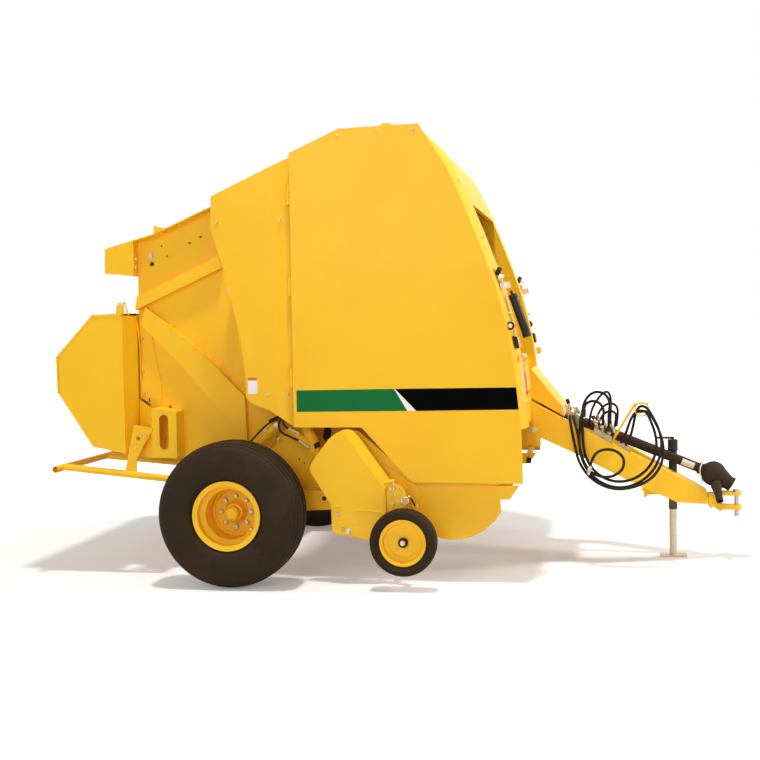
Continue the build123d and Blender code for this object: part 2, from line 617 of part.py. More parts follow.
# ---- parking jack ----
with BuildPart() as jack_mast:
    with Locations((axle_x + jack_x, jack_y, (340 + jack_top) / 2)):
        Cylinder(mast_r, jack_top - 340)
    with Locations((axle_x + jack_x, jack_y, jack_top - 40)):
        Cylinder(mast_r + 6, 80)
    with Locations((axle_x + jack_x, jack_y, (339 + jack_top - 30) / 2)):
        Cylinder(mast_r - mast_t, jack_top - 30 - 339, mode=Mode.SUBTRACT)
    rod_xz(jack_x, jack_top - 1, jack_x, jack_top + 20, 10, jack_y)
    rod_xz(jack_x + 8, jack_top + 12, jack_x - 115, jack_top + 12, 8, jack_y)
save(jack_mast.part, "jack_mast")
with BuildPart() as jack_leg:
    with Locations((axle_x + jack_x, jack_y, 235)):
        Cylinder(leg_r, 450)
    block(jack_x - 93, jack_x + 93, jack_y - 60, jack_y + 60, 0, 12)
save(jack_leg.part, "jack_leg")

# ---- gearbox with its guard ----
with BuildPart() as gearbox:
    block(1900, 2090, -110, 110, 920, 1110)
    rod_xz(2085, pto_z, 2150, pto_z, 30, 0)
    for side in (-1, 1):
        side_slab(side, [(2140, pto_z - 30), (2175, pto_z - 22), (2208, pto_z - 14), (2208, pto_z + 14), (2175, pto_z + 22),
                         (2140, pto_z + 30)], 26, 40)
        side_rod(side, pto_x, pto_z, joint_r + 0.3, 25, 41, Mode.SUBTRACT)
    block(2130, 2150, -40, 40, pto_z - 30, pto_z + 30)
save(gearbox.part, "gearbox")
guard_side = [(1900, 1369), (2110, 1103), (2124, 1037), (1900, 1165)]
with BuildPart() as gearbox_guard:
    slab(guard_side, -330, 330)
    slab([(1890, 1370), (2104, 1098), (2119, 1032), (2130, 900), (1890, 1100)], -326, 326, Mode.SUBTRACT)
save(gearbox_guard.part, "gearbox_guard")

# ---- driveline guard and yoke ----
pto_end_x = 3070.0
pto_end_z = 637.0
pto_len = hypot(pto_end_x - pto_x, pto_end_z - pto_z)
pto_ux = (pto_end_x - pto_x) / pto_len
pto_uz = (pto_end_z - pto_z) / pto_len


def shaft_at(distance):
    return (pto_x + pto_ux * distance, pto_z + pto_uz * distance)


# universal joint at the front end: its bell, its mouth and the yoke that hangs out of it to the right
bell_at = pto_len + 85.0
bell_r = 88.0
bell_t = 6.0
mouth = (123.0, 0.0, -77.0)
mouth_r = 46.0
yoke_way = (31.0, -150.0, -175.0)
yoke_r = 38.0
yoke_end_r = 25.0
yoke_clear = 5.0
ball_r = 13.0
joint_x, joint_z = shaft_at(bell_at)
joint_place = (axle_x + joint_x, 0, joint_z)
yoke_len = sqrt(sum(c * c for c in yoke_way))
mouth_len = sqrt(sum(c * c for c in mouth))
yoke_plane = Plane(origin=joint_place, x_dir=(1, 0, 0), z_dir=yoke_way)
shell_in = bell_r - bell_t
neck = radians(35)
with BuildPart() as driveline:
    with BuildSketch(Plane(origin=joint_place, x_dir=(0, 1, 0), z_dir=Vector(0, 1, 0).cross(Vector(*mouth)))) as face:
        with BuildLine():
            ThreePointArc((0, -bell_r), (bell_r, 0), (bell_r * cos(neck), bell_r * sin(neck)))
            Polyline((bell_r * cos(neck), bell_r * sin(neck)), (mouth_r + 2, mouth_len - 20), (mouth_r + 8, mouth_len),
                     (mouth_r + 2, mouth_len), (mouth_r - 4, mouth_len - 20), (shell_in * cos(neck), shell_in * sin(neck)))
            ThreePointArc((shell_in * cos(neck), shell_in * sin(neck)), (shell_in, 0), (0, -shell_in))
            Line((0, -shell_in), (0, -bell_r))
        make_face()
    revolve(face.sketch, axis=Axis(joint_place, mouth))
    rod_xz(*shaft_at(60), *shaft_at(pto_len + 12), pto_r, 0)
    with Locations(yoke_plane.location):
        Cylinder(yoke_r + yoke_clear, bell_r + 60, align=(Align.CENTER, Align.CENTER, Align.MIN), mode=Mode.SUBTRACT)
    rod_xz(*shaft_at(pto_len + 10), *shaft_at(bell_at - 30), 26, 0)
    rod_xz(*shaft_at(bell_at - 31), *shaft_at(bell_at), ball_r - 2, 0)
    with Locations(joint_place):
        Sphere(ball_r)
    slab([(pto_x - 12, pto_z - 14), (pto_x + 70, pto_z - 50), (pto_x + 80, pto_z - 10), (pto_x + 6, pto_z + 14)], -20, 20)
    rod_y(pto_x, pto_z, joint_r, -40, 40)
save(driveline.part, "driveline")
yoke_section = [(0, ball_r + 0.3), (24, ball_r + 0.3), (24, 40), (yoke_r, 62), (yoke_r, 105), (yoke_end_r + 3, 150),
                (yoke_end_r + 3, 165), (yoke_end_r, 168), (yoke_end_r, yoke_len), (spline_r, yoke_len),
                (spline_r, yoke_len - 61), (0, yoke_len - 61)]
with BuildPart() as yoke:
    with BuildSketch(Plane(origin=joint_place, x_dir=yoke_plane.x_dir, z_dir=yoke_plane.x_dir.cross(yoke_plane.z_dir))) as face:
        Polygon(*yoke_section, align=None)
    revolve(face.sketch, axis=Axis(joint_place, yoke_way))
save(yoke.part, "yoke")
print("yoke end", [c + w for c, w in zip(joint_place, yoke_way)], "joint", joint_place, "length", yoke_len)

# ---- hose stand ----
with BuildPart() as hose_stand:
    slab([(2420, draw_top(2420)), (2480, draw_top(2480)), (2480, draw_top(2480) + 8), (2420, draw_top(2420) + 8)], -300, -260)
    rod_xz(2444, 856, 2605, 1119, 9, -280)
    rod_xz(2600, 1119, 2696, 1119, 7, -280)
    rod_y(ring_x, ring_z, ring_r + 8, -285, -275)
    rod_y(ring_x, ring_z, ring_r, -286, -274, Mode.SUBTRACT)
save(hose_stand.part, "hose_stand")

# ---- valve blocks and hose clamp on the right leg of the drawbar, with their fittings ----
clamp_high = 30.0
fitting_high = 75.0
fitting_r = 12.0
block_high = 46.0
outer_fittings = (2345, 2385, 2425)


def on_leg(x1, x2, y1, y2, height):
    slab([(x1, draw_top(x1)), (x2, draw_top(x2)), (x2, draw_top(x2) + height), (x1, draw_top(x1) + height)], y1, y2)


with BuildPart() as valve_blocks:
    on_leg(2325, 2445, -345, -302, block_high)
    for x in outer_fittings:
        with Locations((axle_x + x, -324, draw_top(x) + (block_high + fitting_high) / 2 - 5)):
            Cylinder(fitting_r, fitting_high - block_high + 10)
        with BuildSketch(Plane.XY.offset(draw_top(x) + block_high + 8)) as hexagon:
            with Locations((axle_x + x, -324)):
                RegularPolygon(fitting_r + 5, 6)
        extrude(hexagon.sketch, amount=12)
    on_leg(2490, 2572, -288, -214, clamp_high)
    on_leg(2150, 2235, -395, -330, fitting_high)
    for x in (2165, 2190):
        rod_y(x, 1045, fitting_r - 1, -425, -390)
save(valve_blocks.part, "valve_blocks")

# ---- hydraulic hoses, each one tube of straight runs joined by tangent arcs ----
hose_routes = {
    "hose_outer": [
        (2540, -262, draw_top(2540) + clamp_high), (2572.47, -262, 887.97), (2590, -222, 950), (2606, -188, 1026),
        (2630, -238, 1102), (2680, -336, 1102), (2720, -396, 1040), (2762, -438, 950), (2778, -456, 845),
        (2752, -462, 735), (2690, -466, 645), (2600, -468, 582), (2495, -468, 558), (2390, -466, 582),
        (2300, -462, 650), (2244, -458, 745), (2226, -452, 850), (2230, -444, 955), (2244, -424, 1055),
        (2267, -398, 1160), (2327, -372, 1212), (2402, -352, 1198), (2438, -336, 1132), (2426, -326, 1056),
        (2425, -324, 990), (2425, -324, draw_top(2425) + fitting_high),
    ],
    "hose_inner": [
        (2508, -262, draw_top(2508) + clamp_high), (2538.56, -262, 901.84), (2558, -244, 962), (2580, -226, 1018),
        (2614, -252, 1068), (2676, -322, 1074), (2706, -382, 1010), (2736, -426, 925), (2744, -442, 830),
        (2716, -446, 735), (2656, -448, 660), (2574, -450, 612), (2484, -450, 598), (2394, -448, 620),
        (2318, -444, 680), (2270, -440, 760), (2252, -434, 850), (2250, -424, 940), (2248, -404, 1030),
        (2254, -380, 1108), (2302, -362, 1148), (2364, -348, 1136), (2396, -336, 1082), (2385, -324, 1018),
        (2385, -324, draw_top(2385) + fitting_high),
    ],
    "hose_third": [
        (2165, -425, 1045), (2165, -482, 1045), (2171, -522, 1005), (2185, -524, 929), (2202, -506, 838),
        (2222, -492, 742), (2282, -490, 645), (2372, -490, 580), (2476, -492, 552), (2580, -490, 566),
        (2680, -478, 606), (2756, -470, 682), (2790, -452, 785), (2782, -420, 890), (2744, -372, 984),
        (2706, -330, 1050), (2672, -276, 1072), (2652, -222, 1062),
    ],
    "hose_small": [
        (2190, -425, 1045), (2190, -480, 1045), (2202, -524, 1008), (2220, -528, 936), (2230, -518, 850),
        (2248, -504, 760), (2290, -496, 680), (2366, -492, 636), (2456, -490, 640), (2522, -488, 694),
        (2526, -486, 770), (2466, -484, 822), (2380, -486, 826), (2318, -500, 784), (2300, -520, 712),
    ],
}
hose_coupler_r = 14.0


def route(name, points, radius):
    """A hose along points, with each corner as round as its two runs allow."""
    places = [Vector(axle_x + x, y, z) for x, y, z in points]
    runs = [b - a for a, b in zip(places, places[1:])]
    arcs = []
    for before, after in zip(runs, runs[1:]):
        turn = radians(before.get_angle(after))
        arcs.append(0.45 * min(before.length, after.length) / tan(turn / 2))
    print(name, "arc radii", [round(r) for r in arcs])
    with BuildPart() as hose:
        with BuildLine() as path:
            FilletPolyline(*places, radius=arcs)
        with BuildSketch(Plane(origin=places[0], z_dir=runs[0])) as face:
            Circle(radius)
        sweep(face.sketch, path=path.wire())
    return hose.part


for name, points in hose_routes.items():
    save(route(name, points, hose_r), name)
for name in ("hose_small", "hose_third"):
    before_end, end = [Vector(axle_x + x, y, z) for x, y, z in hose_routes[name][-2:]]
    with BuildPart() as hose_coupler:
        with Locations(Plane(origin=end, z_dir=end - before_end).location):
            Cylinder(hose_coupler_r, 34, align=(Align.CENTER, Align.CENTER, Align.MIN))
            Cylinder(hose_coupler_r - 4, 58, align=(Align.CENTER, Align.CENTER, Align.MIN))
    save(hose_coupler.part, name.replace("hose", "coupler"))

# ---- black spring cylinder on the front of the hood, between two lugs ----
cylinder_y = -900.0
with BuildPart() as tension_cylinder:
    rod_xz(1826, 1854, 1910, 1607, 28, cylinder_y)
    rod_xz(1818, 1878, 1918, 1583, 13, cylinder_y)
    slab([(1718.6, 1850), (1723.8, 1830), (1836, 1836), (1826, 1858)], cylinder_y - 7, cylinder_y + 7)
    slab([(1772.4, 1625), (1776.5, 1605), (1912, 1596), (1908, 1620)], cylinder_y - 7, cylinder_y + 7)
save(tension_cylinder.part, "tension_cylinder")
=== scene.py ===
# %% [markdown]
# # Dressing a round baler
# A round baler is a farm machine: a tractor pulls it over rows of cut hay, a tined reel lifts the hay, and belts
# roll it up inside. The CAD model gives every hard piece its true shape and size. This script is read as a
# lesson: it lights that model, gives each piece a finish, and adds what steel sheet and rubber have in real
# life and a plain solid lacks, such as tread grooves, wheel nuts, decals and hoses.

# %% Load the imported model
import bpy
import bmesh
from math import cos, pi, radians, sin
from mathutils import Matrix, Vector


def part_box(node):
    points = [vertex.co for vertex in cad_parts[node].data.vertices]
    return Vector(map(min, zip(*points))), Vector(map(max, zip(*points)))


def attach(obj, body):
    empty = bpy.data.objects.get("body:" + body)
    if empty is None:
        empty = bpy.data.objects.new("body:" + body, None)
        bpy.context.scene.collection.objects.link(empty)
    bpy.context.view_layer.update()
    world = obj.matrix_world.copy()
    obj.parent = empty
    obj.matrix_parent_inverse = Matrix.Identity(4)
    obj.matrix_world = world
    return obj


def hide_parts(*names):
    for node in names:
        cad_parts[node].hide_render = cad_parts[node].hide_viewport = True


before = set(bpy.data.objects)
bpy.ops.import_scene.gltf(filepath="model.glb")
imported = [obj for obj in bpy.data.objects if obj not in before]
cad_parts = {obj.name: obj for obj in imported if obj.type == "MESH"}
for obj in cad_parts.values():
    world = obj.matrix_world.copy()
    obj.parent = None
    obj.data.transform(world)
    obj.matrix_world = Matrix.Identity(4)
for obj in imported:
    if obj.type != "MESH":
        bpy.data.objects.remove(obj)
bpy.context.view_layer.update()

# %% [markdown]
# ## The camera
# The camera stands nine metres to the right of the machine's middle, at about head height, and looks a little
# towards the rear. Its three axes are written out as the columns of a matrix, because that holds a small
# roll as well, which a pair of angles would lose. A long lens of 59 mm keeps the sides nearly parallel.

# %% Place the camera
right = Vector((0.98359, 0.17960, -0.01698))
up = Vector((0.0083, 0.04898, 0.99877))
back = right.cross(up).normalized()
up = back.cross(right).normalized()
camera = bpy.data.objects.new("camera", bpy.data.cameras.new("camera"))
camera.data.lens = 58.83
camera.data.sensor_width = 36
stand = Matrix.Translation((1.4202, -8.9817, 1.7105))
camera.matrix_world = stand @ Matrix((right, up, back)).transposed().to_4x4()
bpy.context.collection.objects.link(camera)
bpy.context.scene.camera = camera
print("camera at", camera.matrix_world.translation[:])

# %% [markdown]
# ## Studio light
# Painted sheet shows its bends only when the light changes slowly over it, so large area lamps do the work: one
# high in front for the hood, one broad one for the side, a dimmer one behind, and one overhead that
# draws the soft shadow on the floor.

# %% Hang the lamps
scene = bpy.context.scene
scene.view_settings.view_transform = "Standard"
machine_middle = Vector((0, 0, 1.2))


def softbox(name, place, size, watts):
    lamp = bpy.data.lights.new(name, "AREA")
    lamp.shape = "DISK"
    lamp.size = size
    lamp.energy = watts
    holder = bpy.data.objects.new(name, lamp)
    aim = machine_middle - Vector(place)
    holder.matrix_world = Matrix.Translation(place) @ aim.to_track_quat("-Z", "Y").to_matrix().to_4x4()
    bpy.context.collection.objects.link(holder)


softbox("side_lamp", (-1.5, -9.5, 4.2), 4.0, 182)
softbox("front_lamp", (9.5, 0.5, 6.0), 3.0, 560)
softbox("rear_lamp", (-8.0, 5.0, 5.0), 4.0, 120)
softbox("top_lamp", (0.3, -2.6, 11.0), 1.0, 760)
print(len(bpy.data.lights), "lamps hung")

# %% [markdown]
# ## Shader maths as plain Python
# A procedural finish is a small formula over the surface: noise times a mask, plus a little more. Wired by
# hand that is a dozen Math nodes. The class below wraps one output socket, and its operators add the
# Math node for us, so a finish reads as the formula it is.

# %% Wrap sockets and nodes
class Wire:
    """One output socket. Arithmetic on it adds Math nodes."""

    def __init__(self, finish, socket):
        self.finish = finish
        self.socket = socket

    def math(self, operation, *values):
        return self.finish.node("ShaderNodeMath", {"operation": operation}, dict(enumerate(values)))

    def __add__(self, other):
        return self.math("ADD", self, other)

    def __rsub__(self, other):
        return self.math("SUBTRACT", other, self)

    def __mul__(self, other):
        return self.math("MULTIPLY", self, other)

    __radd__ = __add__
    __rmul__ = __mul__

    def ramp(self, low, high):
        """0 below low, 1 above high, and a smooth step between."""
        settings = {"interpolation_type": "SMOOTHSTEP", "clamp": True}
        return self.finish.node("ShaderNodeMapRange", settings, {0: self, 1: low, 2: high, 3: 0.0, 4: 1.0})


class Finish:
    """A material on the Principled shader, with one method that makes any node."""

    def __init__(self, name, **constants):
        self.material = bpy.data.materials.new(name)
        self.material.use_nodes = True
        self.tree = self.material.node_tree
        self.shader = self.tree.nodes["Principled BSDF"]
        self.place = self.node("ShaderNodeTexCoord", output="Object")
        self.set(**constants)

    def node(self, kind, settings=None, values=None, output=0):
        made = self.tree.nodes.new(kind)
        for key, value in (settings or {}).items():
            setattr(made, key, value)
        for key, value in (values or {}).items():
            self.join(made.inputs[key], value)
        return Wire(self, made.outputs[output])

    def join(self, socket, value):
        if isinstance(value, Wire):
            self.tree.links.new(value.socket, socket)
        else:
            socket.default_value = value

    def set(self, **sockets):
        for name, value in sockets.items():
            self.join(self.shader.inputs[name.replace("_", " ").title().replace("Ior", "IOR")], value)

    def noise(self, scale, detail=2.0, stretch=None, rough=0.5):
        where = self.place
        if stretch:
            where = self.node("ShaderNodeMapping", {}, {"Vector": self.place, "Scale": stretch})
        values = {"Vector": where, "Scale": scale, "Detail": detail, "Roughness": rough}
        return self.node("ShaderNodeTexNoise", {}, values)

    def axis(self, letter):
        return self.node("ShaderNodeSeparateXYZ", {}, {0: self.place}, output=letter)

    def mix(self, factor, low, high):
        return self.node("ShaderNodeMix", {"data_type": "RGBA"}, {0: factor, 6: low, 7: high}, output=2)

    def bump(self, height, distance, strength=1.0):
        return self.node("ShaderNodeBump", {}, {"Height": height, "Distance": distance, "Strength": strength})


# %% [markdown]
# ## The paint
# Enamel on bent sheet is never one flat colour. It pools a little, the sheet behind it waves by a fraction of
# a millimetre, and fine orange peel softens its gloss. Field dust settles low down and on faces that look
# up. Each of these is one term here, and the colour stays close to the tin's own yellow.

# %% Mix the yellow enamel
def rgb(red, green, blue):
    """A screen colour of 0 to 255 as the linear colour that a shader needs."""
    shares = [value / 255 for value in (red, green, blue)]
    return tuple(s / 12.92 if s < 0.04045 else ((s + 0.055) / 1.055) ** 2.4 for s in shares) + (1.0,)


dust_colour = rgb(176, 158, 118)


def enamel(name, colour, deeper, gloss, dust=0.12):
    finish = Finish(name, ior=1.45, specular_ior_level=0.3, coat_weight=0.05, coat_roughness=0.15)
    pooled = finish.noise(1.6, 3.0).ramp(0.3, 0.7)
    fine = finish.noise(38.0, 4.0)
    normal = finish.node("ShaderNodeNewGeometry", output="Normal")
    looks_up = finish.node("ShaderNodeSeparateXYZ", {}, {0: normal}, output="Z")
    settled = looks_up.ramp(0.55, 1.0) * 0.5 + (1.0 - finish.axis("Z").ramp(0.1, 1.1)) * 0.8
    film = settled * finish.noise(9.0, 5.0, rough=0.65).ramp(0.35, 0.75) * dust
    body = finish.mix(pooled * 0.55 + fine * 0.2, colour, deeper)
    finish.set(base_color=finish.mix(film, body, dust_colour))
    finish.set(roughness=gloss + finish.noise(5.0, 3.0) * 0.08 + film * 0.5)
    peel = finish.noise(260.0, 1.0) * 0.00005
    wave = finish.noise(3.2, 1.0) * 0.0022
    finish.set(normal=finish.bump(peel + wave, 1.0, 0.6))
    return finish.material


yellow = enamel("yellow_enamel", rgb(254, 198, 30), rgb(250, 188, 23), 0.4)
black_enamel = enamel("black_enamel", rgb(24, 24, 24), rgb(16, 16, 17), 0.38, 0.4)
print("mixed", yellow.name, black_enamel.name)

# %% [markdown]
# ## Rubber, steel and zinc
# Tyre rubber is a warm near-black that scuffs to brown-grey. Turned steel keeps fine rings, rolled bar has a dull
# scale, and galvanised tube shows large pale crystals, which a Voronoi pattern draws well.

# %% Mix the other finishes
def rubber(name, colour, scuffed, grain):
    finish = Finish(name, ior=1.45, specular_ior_level=0.14)
    worn = finish.noise(6.0, 6.0, rough=0.6).ramp(0.4, 0.75)
    finish.set(base_color=finish.mix(worn * 0.6 + finish.noise(grain, 2.0) * 0.2, colour, scuffed))
    finish.set(roughness=0.62 + worn * 0.2)
    finish.set(normal=finish.bump(finish.noise(grain, 3.0), 0.0004, 0.5))
    return finish.material


def bare_metal(name, bright, dull, streak, rough):
    finish = Finish(name, metallic=1.0)
    lines = finish.noise(40.0, 4.0, streak)
    spots = finish.noise(11.0, 5.0).ramp(0.5, 0.8)
    finish.set(base_color=finish.mix(spots * 0.7 + lines * 0.3, bright, dull))
    finish.set(roughness=rough + lines * 0.15 + spots * 0.1)
    finish.set(normal=finish.bump(lines, 0.0003, 0.4))
    return finish.material


def galvanised(name):
    finish = Finish(name, metallic=0.6)
    cells = finish.node("ShaderNodeTexVoronoi", {}, {"Vector": finish.place, "Scale": 85.0}, output="Distance")
    cloud = cells * 0.8 + finish.noise(7.0, 4.0) * 0.4
    finish.set(base_color=finish.mix(cloud, rgb(232, 220, 196), rgb(196, 182, 154)))
    finish.set(roughness=0.42 + cells * 0.25)
    finish.set(normal=finish.bump(cells, 0.0004, 0.3))
    return finish.material


tyre_rubber = rubber("tyre_rubber", rgb(44, 32, 20), rgb(62, 47, 32), 120.0)
hose_rubber = rubber("hose_rubber", rgb(36, 27, 19), rgb(60, 47, 34), 300.0)
belt_rubber = rubber("belt_rubber", rgb(44, 36, 29), rgb(74, 62, 50), 90.0)
guard_plastic = rubber("guard_plastic", rgb(50, 38, 26), rgb(72, 57, 40), 200.0)
blank_label = rubber("blank_label", rgb(228, 216, 194), rgb(206, 192, 168), 60.0)
steel = bare_metal("bar_steel", rgb(190, 184, 172), rgb(130, 120, 104), (1, 0.05, 1), 0.34)
chrome = bare_metal("chromed_rod", rgb(222, 222, 220), rgb(196, 194, 190), (1, 1, 1), 0.12)
zinc = galvanised("galvanised_tube")
cast_valves = bare_metal("cast_valves", rgb(176, 158, 122), rgb(84, 70, 50), (1, 1, 1), 0.42)
fastener = bare_metal("plated_fastener", rgb(196, 176, 138), rgb(140, 120, 86), (1, 1, 1), 0.38)
print(len(bpy.data.materials), "finishes so far")

# %% [markdown]
# ## Finishes on the CAD pieces
# The solids from the CAD model are already right in shape, so each takes a finish as it is. A short table
# names the pieces that aren't yellow, and all the others share the enamel.

# %% Paint the carried-over pieces
other_finish = {
    "tyre_right": tyre_rubber, "tyre_left": tyre_rubber,
    "gauge_tyre_right": tyre_rubber, "gauge_tyre_left": tyre_rubber,
    "front_belts": belt_rubber, "tail_belts": belt_rubber, "top_belts": belt_rubber,
    "front_rolls": steel, "tail_rolls": steel, "hitch_pin": steel, "reel": steel, "valve_blocks": cast_valves,
    "lift_rod_right": chrome, "lift_rod_left": chrome, "jack_leg": zinc, "coupler_small": zinc,
    "coupler_third": zinc, "jack_mast": black_enamel, "gearbox": black_enamel, "yoke": guard_plastic,
    "driveline": guard_plastic,
}
for name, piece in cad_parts.items():
    piece.data.materials.clear()
    piece.data.materials.append(other_finish.get(name, yellow))
print(len(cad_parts), "pieces painted")

# %% [markdown]
# ## Hydraulic hoses
# Four hoses hang in one big loop over the right leg of the drawbar, threaded through the ring of their stand. Each
# is a NURBS spline through the air with a round bevel. The order of a spline sets how far each control
# point reaches: order 3 blends three neighbours, so the line bends evenly and never kinks.

# %% Draw a smooth round line
def smooth_line(name, points, radius, material, sides, steps, closed=False):
    curve = bpy.data.curves.new(name, "CURVE")
    curve.dimensions = "3D"
    curve.bevel_depth = radius
    curve.bevel_resolution = sides
    curve.use_fill_caps = True
    curve.resolution_u = steps
    line = curve.splines.new("NURBS")
    line.points.add(len(points) - 1)
    for knot, place in zip(line.points, points):
        knot.co = (*place, 1)
    line.use_cyclic_u = closed
    line.order_u = 3
    line.use_endpoint_u = not closed
    curve.materials.append(material)
    piece = bpy.data.objects.new(name, curve)
    bpy.context.collection.objects.link(piece)
    print(name, "through", len(points), "points")
    return piece


# %% Plan the hoses
hose_radius = 0.0095
routes = {
    "hose_outer": [
        (1.54, -0.262, 0.82822), (1.57247, -0.262, 0.88797), (1.59, -0.222, 0.95), (1.606, -0.188, 1.026),
        (1.63, -0.238, 1.102), (1.68, -0.336, 1.102), (1.72, -0.396, 1.04), (1.762, -0.438, 0.95),
        (1.778, -0.456, 0.845), (1.752, -0.462, 0.735), (1.69, -0.466, 0.645), (1.6, -0.468, 0.582),
        (1.495, -0.468, 0.558), (1.39, -0.466, 0.582), (1.3, -0.462, 0.65), (1.244, -0.458, 0.745),
        (1.226, -0.452, 0.85), (1.23, -0.444, 0.955), (1.244, -0.424, 1.055), (1.267, -0.398, 1.16),
        (1.327, -0.372, 1.212), (1.402, -0.352, 1.198), (1.438, -0.336, 1.132), (1.426, -0.326, 1.056),
        (1.425, -0.324, 0.99), (1.425, -0.324, 0.93571),
    ],
    "hose_inner": [
        (1.508, -0.262, 0.84561), (1.53856, -0.262, 0.90184), (1.558, -0.244, 0.962), (1.58, -0.226, 1.018),
        (1.614, -0.252, 1.068), (1.676, -0.322, 1.074), (1.706, -0.382, 1.01), (1.736, -0.426, 0.925),
        (1.744, -0.442, 0.83), (1.716, -0.446, 0.735), (1.656, -0.448, 0.66), (1.574, -0.45, 0.612),
        (1.484, -0.45, 0.598), (1.394, -0.448, 0.62), (1.318, -0.444, 0.68), (1.27, -0.44, 0.76),
        (1.252, -0.434, 0.85), (1.25, -0.424, 0.94), (1.248, -0.404, 1.03), (1.254, -0.38, 1.108),
        (1.302, -0.362, 1.148), (1.364, -0.348, 1.136), (1.396, -0.336, 1.082), (1.385, -0.324, 1.018),
        (1.385, -0.324, 0.95745),
    ],
    "hose_third": [
        (1.165, -0.425, 1.045), (1.165, -0.482, 1.045), (1.171, -0.522, 1.005), (1.185, -0.524, 0.929),
        (1.202, -0.506, 0.838), (1.222, -0.492, 0.742), (1.282, -0.49, 0.645), (1.372, -0.49, 0.58),
        (1.476, -0.492, 0.552), (1.58, -0.49, 0.566), (1.68, -0.478, 0.606), (1.756, -0.47, 0.682),
        (1.79, -0.452, 0.785), (1.782, -0.42, 0.89), (1.744, -0.372, 0.984), (1.706, -0.33, 1.05),
        (1.672, -0.276, 1.072), (1.652, -0.222, 1.062),
    ],
    "hose_small": [
        (1.19, -0.425, 1.045), (1.19, -0.48, 1.045), (1.202, -0.524, 1.008), (1.22, -0.528, 0.936),
        (1.23, -0.518, 0.85), (1.248, -0.504, 0.76), (1.29, -0.496, 0.68), (1.366, -0.492, 0.636),
        (1.456, -0.49, 0.64), (1.522, -0.488, 0.694), (1.526, -0.486, 0.77), (1.466, -0.484, 0.822),
        (1.38, -0.486, 0.826), (1.318, -0.5, 0.784), (1.3, -0.52, 0.712),
    ],
}

# %% Lay the hoses
for name, points in routes.items():
    hose = smooth_line(f"{name}_run", points, hose_radius, hose_rubber, 4, 10)
    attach(hose, "chassis")
    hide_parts(name)

# %% [markdown]
# ## From bmesh to a finished piece
# Each new piece starts as a bmesh, which holds loose geometry. This helper turns it into an object, makes its
# faces look outwards, gives it one material and smooth shading up to a set angle, and lets it ride on
# a body of the machine.

# %% Finish a bmesh
def finished(name, shape, material, body, sharp=35):
    bmesh.ops.remove_doubles(shape, verts=shape.verts, dist=1e-6)
    bmesh.ops.recalc_face_normals(shape, faces=shape.faces)
    mesh = bpy.data.meshes.new(name)
    shape.to_mesh(mesh)
    shape.free()
    mesh.materials.append(material)
    mesh.shade_smooth()
    mesh.set_sharp_from_angle(angle=radians(sharp))
    piece = bpy.data.objects.new(name, mesh)
    bpy.context.collection.objects.link(piece)
    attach(piece, body)
    print(name, len(mesh.polygons), "faces")
    return piece


# %% [markdown]
# ## Tyres
# A tyre is a body of revolution: half of its section is enough to see the sidewall, the shoulder and the
# three grooves that run round the tread. The section is drawn as a chain of vertices and spun about the
# axle. Spin is exact and keeps the grooves crisp, which bump in the material would not at the outline.

# %% Helpers for round pieces
mirror = (("right", -1), ("left", 1))


def lathe(points, centre, steps):
    """Spins a chain of (radius, y) about the Y axis through centre."""
    shape = bmesh.new()
    chain = [shape.verts.new((centre[0] + radius, centre[1] + y, centre[2])) for radius, y in points]
    edges = [shape.edges.new(pair) for pair in zip(chain, chain[1:])]
    bmesh.ops.spin(shape, geom=chain + edges, cent=centre, axis=(0, 1, 0), angle=2 * pi, steps=steps, use_merge=True)
    return shape


def middle(node):
    low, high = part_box(node)
    return [(a + b) / 2 for a, b in zip(low, high)]


def round_section(half):
    """Both halves of a tyre's section, from one half and closed at its first point."""
    return half + [(radius, -y) for radius, y in reversed(half)] + half[:1]


# %% Spin the road tyres
half_tyre = [
    (0.2035, 0.140), (0.229, 0.141), (0.238, 0.150), (0.246, 0.170), (0.262, 0.1815), (0.300, 0.189),
    (0.3450, 0.1895), (0.386, 0.185), (0.404, 0.1805), (0.410, 0.1775), (0.428, 0.171), (0.444, 0.160),
    (0.4505, 0.1525),
    (0.4470, 0.1490), (0.4550, 0.1455), (0.4615, 0.134), (0.4660, 0.123), (0.4570, 0.1205), (0.4570, 0.1150),
    (0.4690, 0.1120), (0.4735, 0.095), (0.4760, 0.078), (0.4640, 0.0755), (0.4640, 0.0665), (0.4765, 0.0640),
    (0.4775, 0.040), (0.4778, 0.0200), (0.4660, 0.0170), (0.4660, 0.0050), (0.4778, 0.0030),
]
for side, _ in mirror:
    shape = lathe(round_section(half_tyre), middle(f"tyre_{side}"), 120)
    tyre = finished(f"tread_tyre_{side}", shape, tyre_rubber, f"wheel_{side}")
    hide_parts(f"tyre_{side}")

# %% Spin the gauge tyres
half_small = [
    (0.1495, 0.040), (0.1580, 0.0420), (0.1700, 0.0550), (0.1840, 0.0635), (0.1980, 0.0620), (0.2060, 0.0560),
    (0.2105, 0.048), (0.2135, 0.0360), (0.2080, 0.0340), (0.2080, 0.0280), (0.2140, 0.0260), (0.2148, 0.0100),
]
for side, _ in mirror:
    shape = lathe(round_section(half_small), middle(f"gauge_tyre_{side}"), 72)
    tyre = finished(f"ribbed_tyre_{side}", shape, tyre_rubber, f"gauge_{side}")
    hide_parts(f"gauge_tyre_{side}")

# %% [markdown]
# ## Bolts
# Bolt heads tell the eye how big the machine is. One function makes a hexagon head on its washer, and short
# tables say where they sit. All the bolts of a place are joined in one mesh, since hundreds of loose
# objects would slow everything down.

